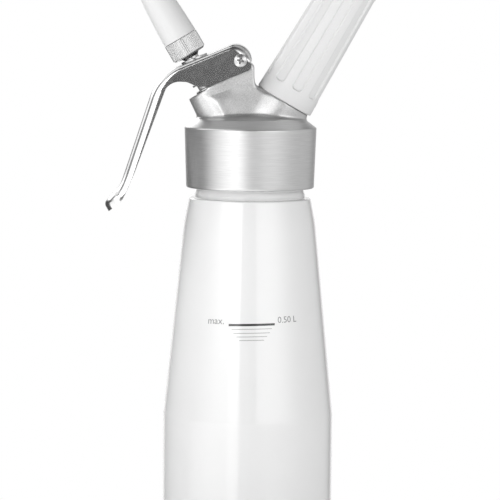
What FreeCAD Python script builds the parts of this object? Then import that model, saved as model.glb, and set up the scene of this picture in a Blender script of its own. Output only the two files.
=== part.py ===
"""Whipped cream dispenser: a bottle, a screwed head with a lever valve and a gas charger holder.

The origin is the centre of the face the bottle stands on, +Z is up, +X points to the charger
holder and -X to the lever handle. All sizes are millimetres and degrees.
"""
import FreeCAD, Part
import math
import os

from FreeCAD import Placement, Rotation, Vector

# Bottle: a thin-walled drawn bottle with a straight foot, a long taper and a screw neck.
bottle_radius = 41.0
bottle_wall = 1.5
foot_height = 66.5
base_edge_radius = 6.0
foot_ring_radius = 31.0
punt_depth = 4.0
taper_top_radius = 31.7
taper_top_height = 158.8
shoulder_radius = 29.3
shoulder_rise = 12.4
neck_root_radius = 25.8
neck_bead_radius = 26.6
neck_thread_radius = 27.0
neck_bore_radius = 23.3
neck_length = 30.0
shoulder_height = taper_top_height + shoulder_rise
rim_height = shoulder_height + neck_length

# Head casting: a threaded skirt under a dome that carries two leaning branches and a lever lug.
skirt_clearance = 4.9
skirt_height = 29.3
skirt_bottom_radius = 30.8
skirt_top_radius = 31.75
dome_radius = 26.3
dome_chamfer_rise = 5.2
dome_rise = 8.4
cavity_radius = 20.5
cavity_rise = 4.3
gasket_thickness = 3.0
thread_gap = 0.35
skirt_bottom = shoulder_height + skirt_clearance
gasket_top = rim_height + gasket_thickness
head_ceiling = gasket_top + cavity_rise

branch_drop = 10.6
branch_height = rim_height - branch_drop
valve_lean = 31.0
valve_reach = 39.2
boss_radius = 10.6
boss_draft = 5.0
charger_lean = 30.2
charger_reach = 31.6
spigot_radius = 13.4
spigot_draft = 3.0
casting_fillet = 1.5

# Lever lug, the flat tongue between the two branches.
pivot_x = -5.1
pivot_rise = 36.3
pivot_z = rim_height + pivot_rise
lug_half_width = 10.45
lug_draft = 1.2
lug_right = 1.8
lug_shoulder_drop = 1.2
hub_radius = 3.7

# Lever: a pressed channel that straddles the lug, and a dished handle. Its side outline is given
# from the pivot, (x, z): the handle's back, then its front edge and the cheeks' lower edge.
handle_bend = (-40.3, -7.7)
handle_flare = (-57.5, -60.5)
handle_end = (-65.2, -69.2)
handle_lip = (-62.9, -73.0)
handle_depth_tip = (-57.4, -67.9)
handle_depth_low = (-51.2, -55.2)
cheek_arch = (-35.4, -9.1)
cheek_low = (-16.9, -13.9)
cheek_end_drop = 3.2
handle_tip_radius = 7.0
lever_half_width = 12.6
lever_wall = 1.4
web_slope = 22.6
web_lift = 8.5
lever_press = 9.0
lever_edge_radius = 3.0
lever_end = 5.4
lever_end_radius = 8.0
cheek_gap = 0.3
sleeve_radius = 2.6
sleeve_head_radius = 4.0
sleeve_head_height = 1.2
screw_radius = 1.7
screw_head_radius = 3.15
screw_head_height = 1.5

# Valve, measured along its own axis from the face of the boss, outward positive.
stem_radius = 3.5
stem_bore_radius = 1.9
stem_end = 16.7
stem_port_depth = 13.0
running_gap = 0.05
guide_thread_radius = 6.0
guide_thread_length = 8.5
guide_flange_radius = 8.2
guide_flange_height = 1.5
guide_hub_radius = 4.85
guide_hub_height = 3.5
o_ring_wire = 0.8
o_ring_depth = 6.6
chamber_radius = 5.4
seat_depth = 19.5
pocket_radius = 8.8
pocket_length = 15.0
piston_radius = 7.8
piston_seal_thickness = 2.0
piston_plate = 2.0
stud_radius = 2.0
seat_washer_radius = 6.7
seat_washer_thickness = 0.8
push_collar_radius = 6.0
push_collar_thickness = 1.35
spring_wire = 0.8
spring_radius = 5.0
spring_turns = 2.6
spring_points_per_turn = 12
slot_half_width = 4.0
slot_half_length = 4.8
lever_washer_radius = 6.6
lever_washer_thickness = 0.8

# Decorator tip, also along the valve axis.
collar_gap = 1.9
collar_radius = 8.55
collar_height = 9.5
collar_wall = 1.3
collar_lip = 1.2
adapter_radius = 5.0
adapter_thread_radius = 4.2
adapter_thread_length = 6.3
tip_seal_thickness = 0.8
tip_length = 46.5
tip_mid_radius = 7.4
tip_mouth_radius = 4.5
tip_wall = 1.3
star_points = 8
star_depth = 6.4
star_slot = 1.35

# Gas charger and holder, along the charger axis from the spigot's face, outward positive.
spud_radius = 10.8
spud_length = 11.5
socket_radius = 4.9
socket_floor = -0.5
pin_body_radius = 4.0
pin_body_length = 4.5
needle_radius = 1.0
needle_length = 4.5
pin_seal_thickness = 2.0
gas_channel_radius = 1.9
charger_radius = 9.0
charger_length = 65.5
charger_wall = 1.3
charger_end_radius = 0.91 * charger_radius
charger_neck_radius = 4.4
charger_neck_length = 11.5
charger_shoulder_length = 6.0
cap_thickness = 0.7
cap_hole_radius = 1.3
holder_mouth_radius = 14.6
holder_taper = 1.35
holder_length = 72.5
holder_end_radius = 4.0
holder_band = 7.8
holder_gap = 0.3
flute_count = 9
flute_angle = 20.0
flute_depth = 0.9
flute_first = 8.0
flute_end_margin = 9.0
valve_stud_radius = 3.4
valve_stud_top = -9.5
valve_sleeve_top = -13.4
valve_sleeve_low = -18.3
valve_sleeve_wall = 1.2

SKIRT_TOP = skirt_bottom + skirt_height
UP = Vector(0, 0, 1)
ORIGIN = Vector(0, 0, 0)
parts = {}


def rounded_wire(corners):
    """A closed wire in the XZ plane through corners (x, z, radius), each corner an arc."""
    starts = []
    ends = []
    edges = []
    count = len(corners)
    for i, (x, z, radius) in enumerate(corners):
        here = Vector(x, 0, z)
        before = Vector(corners[i - 1][0], 0, corners[i - 1][1]) - here
        after = Vector(corners[(i + 1) % count][0], 0, corners[(i + 1) % count][1]) - here
        before.normalize()
        after.normalize()
        half_angle = before.getAngle(after) / 2
        if radius <= 0 or abs(half_angle - math.pi / 2) < 1e-6:
            starts.append(here)
            ends.append(here)
            continue
        reach = radius / math.tan(half_angle)
        bisector = (before + after).normalize()
        middle = here + bisector * (radius / math.sin(half_angle) - radius)
        starts.append(here + before * reach)
        ends.append(here + after * reach)
        edges.append(Part.Arc(starts[-1], middle, ends[-1]).toShape())
    for i in range(count):
        leave = ends[i - 1]
        arrive = starts[i]
        if leave.distanceToPoint(arrive) > 1e-5:
            edges.append(Part.makeLine(leave, arrive))
    return Part.Wire(Part.__sortEdges__(edges))


def turned(corners):
    """A solid of revolution about Z from a rounded profile in (radius, height)."""
    return Part.Face(rounded_wire(corners)).revolve(ORIGIN, UP, 360)


def ring(inner, outer, low, high):
    """A plain tube about Z."""
    return turned([(inner, low, 0), (outer, low, 0), (outer, high, 0), (inner, high, 0)])


def rod(radius, low, high):
    """A plain cylinder about Z."""
    return Part.makeCylinder(radius, high - low, Vector(0, 0, low))


def cross_rod(radius, x, z, y_low, y_high):
    """A cylinder along Y."""
    return Part.makeCylinder(radius, y_high - y_low, Vector(x, y_low, z), Vector(0, 1, 0))


def extruded(corners, half_width):
    """A rounded outline in XZ, made solid across Y."""
    shape = Part.Face(rounded_wire(corners)).extrude(Vector(0, 2 * half_width, 0))
    shape.translate(Vector(0, -half_width, 0))
    return shape


def offset_path(points, distance):
    """Move an open path of (x, z, radius) sideways, to the right of its direction of travel."""
    normals = []
    for (x0, z0, _), (x1, z1, _) in zip(points, points[1:]):
        length = math.hypot(x1 - x0, z1 - z0)
        normals.append(Vector((z1 - z0) / length, 0, -(x1 - x0) / length))
    normals = [normals[0]] + normals + [normals[-1]]
    moved = []
    for (x, z, radius), first, second in zip(points, normals, normals[1:]):
        mitre = first + second
        mitre = mitre * (2 * distance / mitre.dot(mitre))
        moved.append((x + mitre.x, z + mitre.z, radius))
    return moved


def branch_place(lean, reach):
    """The frame of a branch: its origin on the branch's face, its Z out along the axis."""
    turn = Rotation(Vector(0, 1, 0), lean)
    face = Vector(0, 0, branch_height) + turn.multVec(UP) * reach
    return Placement(face, turn)


VALVE = branch_place(-valve_lean, valve_reach)
CHARGER = branch_place(charger_lean, charger_reach)


def placed(shape, place):
    """A copy of a shape that was modelled along Z, set on its branch."""
    copy = shape.copy()
    copy.Placement = place.multiply(copy.Placement)
    return copy


def draft_radius(radius, angle, length):
    return radius + length * math.tan(math.radians(angle))


# ---------------------------------------------------------------- bottle
def make_bottle():
    flank = math.atan2(bottle_radius - taper_top_radius, taper_top_height - foot_height)
    inset = bottle_wall / math.cos(flank)
    outer = [
        (0, punt_depth, 0),
        (foot_ring_radius - 2 * punt_depth, punt_depth, 6),
        (foot_ring_radius, 0, 2),
        (bottle_radius, 0, base_edge_radius),
        (bottle_radius, foot_height, 12),
        (taper_top_radius, taper_top_height, 60),
        (shoulder_radius, shoulder_height, 0.9),
        (neck_bead_radius, shoulder_height, 0.4),
        (neck_bead_radius, shoulder_height + 1.6, 0.6),
        (neck_root_radius, shoulder_height + 4, 1.5),
        (neck_root_radius, shoulder_height + 6.4, 0.6),
        (neck_thread_radius, shoulder_height + 7.6, 0.4),
        (neck_thread_radius, rim_height - 1.2, 0.4),
        (neck_thread_radius - 0.9, rim_height, 0.8),
        (neck_bore_radius, rim_height, 0.8),
    ]
    inner = [
        (neck_bore_radius, shoulder_height - 2.5, 6),
        (shoulder_radius - 2 * bottle_wall, shoulder_height - 6.5, 6),
        (taper_top_radius - inset, taper_top_height, 60),
        (bottle_radius - inset, foot_height, 12),
        (bottle_radius - bottle_wall, bottle_wall, base_edge_radius - bottle_wall),
        (foot_ring_radius, bottle_wall, 2),
        (foot_ring_radius - 2 * punt_depth, punt_depth + bottle_wall, 5),
        (0, punt_depth + bottle_wall, 0),
    ]
    return turned(outer + inner)


# ---------------------------------------------------------------- head
skirt_bore = neck_thread_radius + thread_gap
inner_half_width = lever_half_width - lever_wall


def boss_face_point(offset):
    """A point on the valve boss's face, measured from its axis towards the lug."""
    return VALVE.multVec(Vector(offset, 0, 0))


def spigot_face_point(offset):
    return CHARGER.multVec(Vector(offset, 0, 0))


def lug_half_at(height):
    return lug_half_width + (pivot_z - height) * math.tan(math.radians(lug_draft))


def make_web_and_lug():
    """The drafted plate that joins the two branches and rises to the lever's pivot."""
    boss_edge = boss_face_point(boss_radius)
    spigot_edge = spigot_face_point(-spigot_radius)
    boss_root = VALVE.multVec(Vector(0, 0, 2 - valve_reach))
    spigot_root = CHARGER.multVec(Vector(0, 0, 2 - charger_reach))
    boss_middle = boss_face_point(0)
    spigot_middle = spigot_face_point(0)
    shoulder = pivot_z - lug_shoulder_drop
    outline = [
        (boss_root.x, boss_root.z, 0),
        (boss_middle.x, boss_middle.z, 0),
        (boss_edge.x, boss_edge.z, 0),
        (pivot_x - hub_radius, pivot_z - hub_radius, 1.5),
        (pivot_x - hub_radius, shoulder, 0),
        (lug_right, shoulder, 2.0),
        (lug_right, spigot_edge.z + 0.2, 0.8),
        (spigot_edge.x, spigot_edge.z, 0),
        (spigot_middle.x, spigot_middle.z, 0),
        (spigot_root.x, spigot_root.z, 0),
    ]
    plate = extruded(outline, 3 * lug_half_width)
    top = pivot_z + hub_radius + 1
    top_half = lug_half_at(top)
    low_half = lug_half_at(branch_height)
    wedge_wire = Part.makePolygon([
        Vector(-60, -low_half, branch_height), Vector(-60, low_half, branch_height),
        Vector(-60, top_half, top), Vector(-60, -top_half, top),
        Vector(-60, -low_half, branch_height)])
    wedge = Part.Face(wedge_wire).extrude(Vector(120, 0, 0))
    hub_half = inner_half_width - cheek_gap
    hub = cross_rod(hub_radius, pivot_x, pivot_z, -hub_half, hub_half)
    neck = extruded([
        (pivot_x - hub_radius, pivot_z, 0), (pivot_x + hub_radius, pivot_z, 0),
        (pivot_x + hub_radius, shoulder - 1, 0), (pivot_x - hub_radius, shoulder - 1, 0)],
        lug_half_at(pivot_z))
    return plate.common(wedge).fuse([hub, neck])


def make_branches():
    """The valve boss and the charger spigot with its threaded spud, drafted cones."""
    boss_low = -0.72 * valve_reach
    boss = turned([
        (0, boss_low, 0),
        (draft_radius(boss_radius, boss_draft, -boss_low), boss_low, 0),
        (boss_radius, 0, 0.5),
        (0, 0, 0),
    ])
    spigot_low = -0.7 * charger_reach
    spigot = turned([
        (0, spigot_low, 0),
        (draft_radius(spigot_radius, spigot_draft, -spigot_low), spigot_low, 0),
        (spigot_radius, 0, 0.6),
        (spud_radius - 0.8, 0, 0.4),
        (spud_radius - 0.8, 1.6, 0),
        (spud_radius, 2.4, 0),
        (spud_radius, spud_length - 1, 0),
        (spud_radius - 1, spud_length, 0),
        (0, spud_length, 0),
    ])
    return placed(boss, VALVE), placed(spigot, CHARGER)


def is_branch_seam(edge):
    """True for the long curved edges where a branch grows out of the dome."""
    return isinstance(edge.Curve, Part.BSplineCurve) and edge.Length > spigot_radius


def make_head():
    dome = turned([
        (0, skirt_bottom, 0),
        (skirt_bottom_radius, skirt_bottom, 1.2),
        (skirt_top_radius, SKIRT_TOP, 0.6),
        (dome_radius, SKIRT_TOP + dome_chamfer_rise, 2.5),
        (dome_radius * 0.45, SKIRT_TOP + dome_rise - 0.4, 40),
        (0, SKIRT_TOP + dome_rise, 0),
    ])
    boss, spigot = make_branches()
    body = dome.fuse([boss, spigot, make_web_and_lug()]).removeSplitter()
    body = body.makeFillet(casting_fillet, [edge for edge in body.Edges if is_branch_seam(edge)])
    below_skirt = skirt_bottom - skirt_height
    cavity = turned([
        (0, below_skirt, 0),
        (skirt_bore + 1, below_skirt, 0),
        (skirt_bore + 1, skirt_bottom + 1, 0),
        (skirt_bore, skirt_bottom + 2, 0),
        (skirt_bore, gasket_top, 0),
        (cavity_radius + 1.5, gasket_top, 1.0),
        (cavity_radius, head_ceiling, 2.0),
        (0, head_ceiling, 0),
    ])
    valve_bore = rod(guide_thread_radius, -guide_thread_length - 0.5, 1)
    chamber = rod(chamber_radius, -seat_depth - 1, -o_ring_depth)
    pocket = rod(pocket_radius, -seat_depth - pocket_length, -seat_depth)
    socket = rod(socket_radius, socket_floor, spud_length + 1)
    pin_bore = rod(pin_body_radius, socket_floor - pin_body_length - 0.5, socket_floor + 1)
    channel = rod(gas_channel_radius, valve_sleeve_low - 2, socket_floor - pin_body_length)
    pivot_bore = cross_rod(sleeve_radius + running_gap, pivot_x, pivot_z,
                           -2 * lug_half_width, 2 * lug_half_width)
    cuts = [cavity, pivot_bore]
    cuts += [placed(cut, VALVE) for cut in (valve_bore, chamber, pocket)]
    cuts += [placed(cut, CHARGER) for cut in (socket, pin_bore, channel)]
    return body.cut(cuts)


def make_gasket():
    return turned([
        (neck_bore_radius - 0.6, rim_height, 0.4),
        (skirt_bore - 0.1, rim_height, 0.4),
        (skirt_bore - 0.1, gasket_top, 0.4),
        (neck_bore_radius - 0.6, gasket_top, 0.4),
    ])


# ---------------------------------------------------------------- valve
pivot_in_valve = VALVE.inverse().multVec(Vector(pivot_x, 0, pivot_z))
pivot_level = pivot_in_valve.z
stem_arm = pivot_in_valve.x
web_underside = web_lift - lever_wall
rest_tilt = math.radians(valve_lean - web_slope)
sphere_level = pivot_level + stem_arm * math.tan(rest_tilt)
web_top_level = pivot_level + (web_lift + stem_arm * math.sin(rest_tilt)) / math.cos(rest_tilt)
dome_sphere_radius = math.hypot(web_underside, slot_half_width) - cheek_gap / 2
spring_low = guide_hub_height + seat_washer_thickness
push_rim_level = sphere_level + math.sqrt(dome_sphere_radius ** 2 - push_collar_radius ** 2)
spring_high = push_rim_level - push_collar_thickness
collar_low = web_top_level + lever_washer_thickness + collar_gap
adapter_low = stem_end
adapter_shoulder = collar_low + collar_lip - 0.2
seal_top = adapter_shoulder + tip_seal_thickness


def make_guide_nut():
    groove_radius = stem_radius + running_gap + 2 * o_ring_wire
    nut = turned([
        (stem_radius + running_gap, -guide_thread_length, 0),
        (guide_thread_radius, -guide_thread_length, 0.4),
        (guide_thread_radius, 0, 0),
        (guide_flange_radius, 0, 0.2),
        (guide_flange_radius, guide_flange_height, 0.3),
        (guide_hub_radius + 0.5, guide_flange_height, 0.3),
        (guide_hub_radius, guide_hub_height, 0),
        (stem_radius + running_gap, guide_hub_height, 0),
    ])
    groove = ring(stem_radius - 1, groove_radius, -o_ring_depth - o_ring_wire, -o_ring_depth + o_ring_wire)
    notches = []
    for turn in (0, 90):
        notch = Part.makeBox(2.0, 4 * guide_flange_radius, guide_flange_height,
                             Vector(-1.0, -2 * guide_flange_radius, guide_flange_height - 0.8))
        notch.rotate(ORIGIN, UP, turn + 45)
        notches.append(notch)
    hub_keep = rod(guide_hub_radius + 0.6, 0, guide_hub_height)
    slots = notches[0].fuse(notches[1]).cut(hub_keep)
    return placed(nut.cut([groove, slots]), VALVE)


def make_o_ring():
    centre_radius = stem_radius + running_gap + o_ring_wire
    return placed(Part.makeTorus(centre_radius, o_ring_wire, Vector(0, 0, -o_ring_depth)), VALVE)


def make_seat_washer():
    return placed(ring(stem_radius + 0.2, seat_washer_radius, guide_hub_height, spring_low), VALVE)


def make_spring():
    """A round-wire helix between its seat washer and the stem's push collar."""
    wire_radius = spring_wire / 2
    low = spring_low + wire_radius
    rise = spring_high - wire_radius - low
    steps = round(spring_turns * spring_points_per_turn)
    points = []
    for step in range(steps + 1):
        share = step / steps
        turn = 2 * math.pi * spring_turns * share
        across = spring_radius * math.cos(turn)
        along = spring_radius * math.sin(turn)
        points.append(Vector(across, along, low + rise * share))
    path = Part.BSplineCurve()
    path.interpolate(points)
    start_direction = path.tangent(path.FirstParameter)[0]
    section = Part.Wire(Part.makeCircle(wire_radius, points[0], start_direction))
    coil = Part.Wire(path.toShape()).makePipeShell([section], True, False)
    return placed(coil, VALVE)


def make_stem():
    """A hollow stem: a stud for the piston, two cream ports and a ball-faced push collar."""
    piston_face = -seat_depth + 0.1
    body = rod(stem_radius, piston_face, stem_end)
    threaded_end = rod(adapter_thread_radius - 1.0, stem_end - 1, collar_low + collar_height - 2)
    stud = rod(stud_radius, piston_face - piston_seal_thickness - piston_plate - 0.8, piston_face)
    ball = Part.makeSphere(dome_sphere_radius, Vector(0, 0, sphere_level))
    collar = rod(push_collar_radius, spring_high, sphere_level + dome_sphere_radius).common(ball)
    bore = rod(stem_bore_radius, -stem_port_depth - 2.5, collar_low + collar_height)
    ports = []
    for turn in (0, 90):
        port = Part.makeCylinder(1.4, 4 * stem_radius, Vector(-2 * stem_radius, 0, -stem_port_depth),
                                 Vector(1, 0, 0))
        port.rotate(ORIGIN, UP, turn)
        ports.append(port)
    stem = body.fuse([threaded_end, stud, collar]).cut([bore] + ports)
    return placed(stem.removeSplitter(), VALVE)


def make_piston():
    top = -seat_depth - piston_seal_thickness
    plate = turned([
        (stud_radius, top - piston_plate, 0),
        (piston_radius, top - piston_plate, 0.6),
        (piston_radius, top, 0.3),
        (stem_radius + 0.5, top, 0),
        (stem_radius + 0.5, -seat_depth + 0.1, 0),
        (stud_radius, -seat_depth + 0.1, 0),
    ])
    return placed(plate, VALVE)


def make_piston_seal():
    top = -seat_depth
    return placed(turned([
        (stem_radius + 0.5, top - piston_seal_thickness, 0),
        (piston_radius - 0.2, top - piston_seal_thickness, 0.3),
        (piston_radius - 0.2, top, 0.5),
        (stem_radius + 0.5, top, 0),
    ]), VALVE)


def make_adapter():
    """The threaded nipple on the stem's end that any decorator tip screws onto."""
    inner = adapter_thread_radius - 1.0
    return placed(turned([
        (inner, adapter_low, 0),
        (stem_radius + 0.2, adapter_low, 0),
        (adapter_radius, collar_low + 0.2, 0.3),
        (adapter_radius, adapter_shoulder, 0.2),
        (adapter_thread_radius, adapter_shoulder, 0),
        (adapter_thread_radius, adapter_shoulder + adapter_thread_length - 0.6, 0),
        (adapter_thread_radius - 0.6, adapter_shoulder + adapter_thread_length, 0),
        (inner, adapter_shoulder + adapter_thread_length, 0),
    ]), VALVE)


# ---------------------------------------------------------------- decorator tip
tip_base = collar_low + collar_height
tip_end = tip_base + tip_length


def make_tip_seal():
    return placed(ring(adapter_thread_radius + 0.2, adapter_radius + 0.9, adapter_shoulder, seal_top), VALVE)


def make_tip_collar():
    return placed(turned([
        (adapter_radius + 1.0, collar_low, 0.2),
        (collar_radius, collar_low, 1.0),
        (collar_radius, tip_base, 0.3),
        (collar_radius - collar_wall, tip_base, 0),
        (collar_radius - collar_wall, collar_low + collar_lip, 0),
        (adapter_radius + 1.0, collar_low + collar_lip, 0),
    ]), VALVE)


def make_tip_cone():
    """A convex plastic nozzle: plug in the collar, threaded bore, star-cut mouth."""
    plug = collar_radius - collar_wall
    middle = tip_base + 0.46 * tip_length
    outer_side = Part.Arc(Vector(collar_radius, 0, tip_base), Vector(tip_mid_radius, 0, middle),
                          Vector(tip_mouth_radius, 0, tip_end)).toShape()
    inner_side = Part.Arc(Vector(collar_radius - 2 * tip_wall, 0, tip_base),
                          Vector(tip_mid_radius - tip_wall, 0, middle),
                          Vector(tip_mouth_radius - tip_wall, 0, tip_end)).toShape()
    thread_bore = adapter_thread_radius + running_gap
    corners = [
        (collar_radius - 2 * tip_wall, tip_base), (thread_bore, tip_base - 1.5), (thread_bore, seal_top),
        (adapter_radius + 1.0, seal_top), (adapter_radius + 1.0, collar_low + collar_lip),
        (plug, collar_low + collar_lip), (plug, tip_base), (collar_radius, tip_base)]
    lines = [Part.makeLine(Vector(a[0], 0, a[1]), Vector(b[0], 0, b[1]))
             for a, b in zip(corners, corners[1:])]
    rim = Part.makeLine(Vector(tip_mouth_radius, 0, tip_end), Vector(tip_mouth_radius - tip_wall, 0, tip_end))
    wire = Part.Wire(Part.__sortEdges__([outer_side, inner_side, rim] + lines))
    cone = Part.Face(wire).revolve(ORIGIN, UP, 360)
    slots = []
    for i in range(star_points):
        notch = Part.makePolygon([
            Vector(0, 0, tip_end - star_depth), Vector(0, star_slot, tip_end + 1),
            Vector(0, -star_slot, tip_end + 1), Vector(0, 0, tip_end - star_depth)])
        slot = Part.Face(notch).extrude(Vector(2 * tip_mouth_radius, 0, 0))
        slot.rotate(ORIGIN, UP, i * 360 / star_points)
        slots.append(slot)
    return placed(cone.cut(slots), VALVE)


# ---------------------------------------------------------------- lever
web_direction = Vector(-math.cos(math.radians(web_slope)), 0, -math.sin(math.radians(web_slope)))
web_normal = Vector(-math.sin(math.radians(web_slope)), 0, math.cos(math.radians(web_slope)))
PIVOT = Vector(pivot_x, 0, pivot_z)
lever_plate = 8 * lever_half_width
lever_end_x = pivot_x + lever_end


def web_point(along, above):
    """A point above the pivot in the lever's own directions."""
    return PIVOT + web_direction * along + web_normal * above


def from_pivot(point, radius):
    """A corner of the lever's side outline, (x, z, radius)."""
    return (PIVOT.x + point[0], PIVOT.z + point[1], radius)


def tip_keep(half_width, tip_radius, inset):
    """A long plate along the handle's end, its two far corners rounded, to trim the handle's tip."""
    flare = Vector(handle_flare[0], 0, handle_flare[1])
    end = Vector(handle_end[0], 0, handle_end[1])
    slope = math.degrees(math.atan2(flare.z - end.z, flare.x - end.x))
    plate = Part.makeBox(lever_plate, 2 * half_width, 2 * lever_plate,
                         Vector(inset, -half_width, -lever_plate))
    corners = [edge for edge in plate.Edges
               if edge.BoundBox.XMax < inset + 0.1 and edge.BoundBox.ZLength > lever_plate]
    plate = plate.makeFillet(tip_radius, corners)
    lip = PIVOT + Vector(handle_lip[0], 0, handle_lip[1])
    plate.Placement = Placement(lip, Rotation(Vector(0, 1, 0), -slope))
    return plate


def slot_centre():
    """Where the stem crosses the web, midway between the lever at rest and pressed."""
    pressed_tilt = rest_tilt - math.radians(lever_press)
    crossings = [stem_arm / math.cos(tilt) + web_lift * math.tan(tilt) for tilt in (rest_tilt, pressed_tilt)]
    return sum(crossings) / 2


def make_lever():
    corner_along = (lever_end_x - PIVOT.x + web_normal.x * -web_lift) / web_direction.x
    end_corner = web_point(corner_along, web_lift)
    cheek_end_z = PIVOT.z - cheek_end_drop
    back = [
        (end_corner.x, end_corner.z, lever_end_radius),
        from_pivot(handle_bend, 18.0),
        from_pivot(handle_flare, 14.0),
        from_pivot(handle_end, 1.0),
    ]
    front = [
        from_pivot(handle_lip, 0.8),
        from_pivot(handle_depth_tip, 7.0),
        from_pivot(handle_depth_low, 25.0),
        from_pivot(cheek_arch, 8.0),
        from_pivot(cheek_low, 7.0),
        (lever_end_x, cheek_end_z, 2.2),
    ]
    sharp = back[:3] + [from_pivot(handle_end, 0), from_pivot(handle_lip, 0)] + front[1:5]
    sharp.append((lever_end_x, cheek_end_z, 0))
    blank = extruded(sharp, lever_half_width)
    long_edges = [edge for edge in blank.Edges if is_back_edge(edge, back)]
    blank = blank.makeFillet(lever_edge_radius, long_edges)
    blank = blank.common(extruded(back + front, lever_half_width))
    blank = blank.common(tip_keep(lever_half_width, handle_tip_radius, 0))
    inside = offset_path(back, -lever_wall)
    end_open = PIVOT.z - 0.4
    below = PIVOT.z + handle_lip[1] - 0.5
    clear_x = lever_end_x + 2 * lever_wall
    hollow = extruded(
        [(lever_end_x - lever_wall, inside[0][1], lever_end_radius - lever_wall)]
        + [(x, z, max(radius - lever_wall, 0)) for x, z, radius in inside[1:3]]
        + [(inside[3][0] + 2.0, inside[3][1] + lever_wall, 1.0),
           (PIVOT.x + handle_lip[0] + 3.4, below, 0),
           (clear_x, below, 0), (clear_x, end_open, 0), (lever_end_x - lever_wall, end_open, 0)],
        inner_half_width)
    hollow = hollow.common(tip_keep(inner_half_width, handle_tip_radius - lever_wall, lever_wall))
    pin_hole = cross_rod(sleeve_radius, pivot_x, pivot_z, -lever_plate, lever_plate)
    slot = make_stem_slot(slot_half_width, slot_half_length, slot_centre())
    return blank.cut([hollow, pin_hole, slot])


def on_path(point, path):
    """True where a point lies on a path's straight runs, seen from the side."""
    for (x0, z0, _), (x1, z1, _) in zip(path, path[1:]):
        start = Vector(x0, 0, z0)
        run = Vector(x1, 0, z1) - start
        offset = Vector(point.x, 0, point.z) - start
        share = offset.dot(run) / run.dot(run)
        if -0.001 <= share <= 1.001 and (offset - run * share).Length < 0.02:
            return True
    return False


def is_back_edge(edge, back):
    """True for the long edges on the lever's back, which are rounded."""
    return edge.BoundBox.YLength < 0.01 and all(on_path(vertex.Point, back) for vertex in edge.Vertexes)


def make_stem_slot(half_width, half_length, along):
    """A slot through the lever's web, square to it, for the tilting stem."""
    flat = half_length - half_width
    slot = Part.makeBox(2 * flat, 2 * half_width, 12, Vector(-flat, -half_width, -6))
    for side in (-flat, flat):
        slot = slot.fuse(Part.makeCylinder(half_width, 12, Vector(side, 0, -6)))
    centre = web_point(along, web_lift)
    slot.Placement = Placement(centre, Rotation(Vector(0, 1, 0), -web_slope))
    return slot


def make_lever_washer():
    washer = ring(slot_half_length - 0.15, lever_washer_radius, 0, lever_washer_thickness)
    washer.Placement = Placement(web_point(slot_centre(), web_lift), Rotation(Vector(0, 1, 0), -web_slope))
    return washer


def make_pivot_sleeve():
    """A barrel nut: its head behind the rear cheek, its barrel through lug and cheeks."""
    rear = lever_half_width
    head = cross_rod(sleeve_head_radius, pivot_x, pivot_z, rear, rear + sleeve_head_height)
    edges = [edge for edge in head.Edges if edge.BoundBox.YMin > rear + 0.5]
    head = head.makeFillet(0.5, edges)
    barrel = cross_rod(sleeve_radius, pivot_x, pivot_z, -lever_half_width + 0.3, rear)
    thread = cross_rod(screw_radius, pivot_x, pivot_z, -lever_half_width, rear - 4)
    return head.fuse(barrel).cut(thread)


def make_pivot_screw():
    """The cross-recessed screw in the front of the barrel nut."""
    front = -lever_half_width
    head = cross_rod(screw_head_radius, pivot_x, pivot_z, front - screw_head_height, front)
    edges = [edge for edge in head.Edges if edge.BoundBox.YMax < front - 0.5]
    head = head.makeFillet(0.9, edges)
    shank = cross_rod(screw_radius, pivot_x, pivot_z, front, lever_half_width - 6)
    return head.fuse(shank)


# ---------------------------------------------------------------- charger side
charger_foot = socket_floor + pin_seal_thickness
charger_end = charger_foot + charger_length


def make_piercing_pin():
    base = socket_floor - pin_body_length
    return placed(turned([
        (0.45, base, 0),
        (pin_body_radius, base, 0.3),
        (pin_body_radius, socket_floor, 0.2),
        (needle_radius, socket_floor, 0),
        (needle_radius, socket_floor + needle_length - 1.6, 0),
        (0.45, socket_floor + needle_length, 0),
    ]), CHARGER)


def make_pin_seal():
    return placed(ring(needle_radius + running_gap, socket_radius - running_gap,
                       socket_floor, charger_foot), CHARGER)


def make_charger():
    """The steel gas bulb, neck down on the seal, hollow inside."""
    low = charger_foot
    shoulder = low + charger_neck_length
    body = shoulder + charger_shoulder_length
    wall = charger_wall
    return placed(turned([
        (charger_neck_radius - 1.8, low, 0),
        (charger_neck_radius, low, 0.5),
        (charger_neck_radius, shoulder, 3),
        (charger_radius, body, 6),
        (charger_radius, charger_end, charger_end_radius),
        (0, charger_end, 0),
        (0, charger_end - wall, 0),
        (charger_radius - wall, charger_end - wall, charger_end_radius - wall),
        (charger_radius - wall, body + 0.6, 5),
        (charger_neck_radius - 1.8, shoulder + 0.9, 2.5),
    ]), CHARGER)


def make_charger_cap():
    return placed(ring(cap_hole_radius, charger_neck_radius - 1.8, charger_foot,
                       charger_foot + cap_thickness), CHARGER)


def holder_radius(level):
    return draft_radius(holder_mouth_radius, -holder_taper, level)


def make_holder():
    """A tapered plastic cup with a threaded mouth and shallow flutes round its grip."""
    mouth = holder_gap / 2
    thread = spud_radius + holder_gap
    bore = charger_radius + holder_gap
    cup = turned([
        (thread, mouth, 0),
        (holder_radius(mouth), mouth, 0.5),
        (holder_radius(holder_length), holder_length, holder_end_radius),
        (0, holder_length, 0),
        (0, charger_end + holder_gap, 0),
        (bore, charger_end + holder_gap, charger_end_radius + holder_gap),
        (bore, spud_length + 5, 0),
        (thread, spud_length + 2, 0),
    ])
    low = holder_band
    high = holder_length - flute_end_margin
    flutes = []
    for i in range(flute_count):
        blade = turned_flute(low, high)
        blade.rotate(ORIGIN, UP, -90 + flute_first + i * 360 / flute_count)
        flutes.append(blade)
    return placed(cup.cut(flutes), CHARGER)


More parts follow.
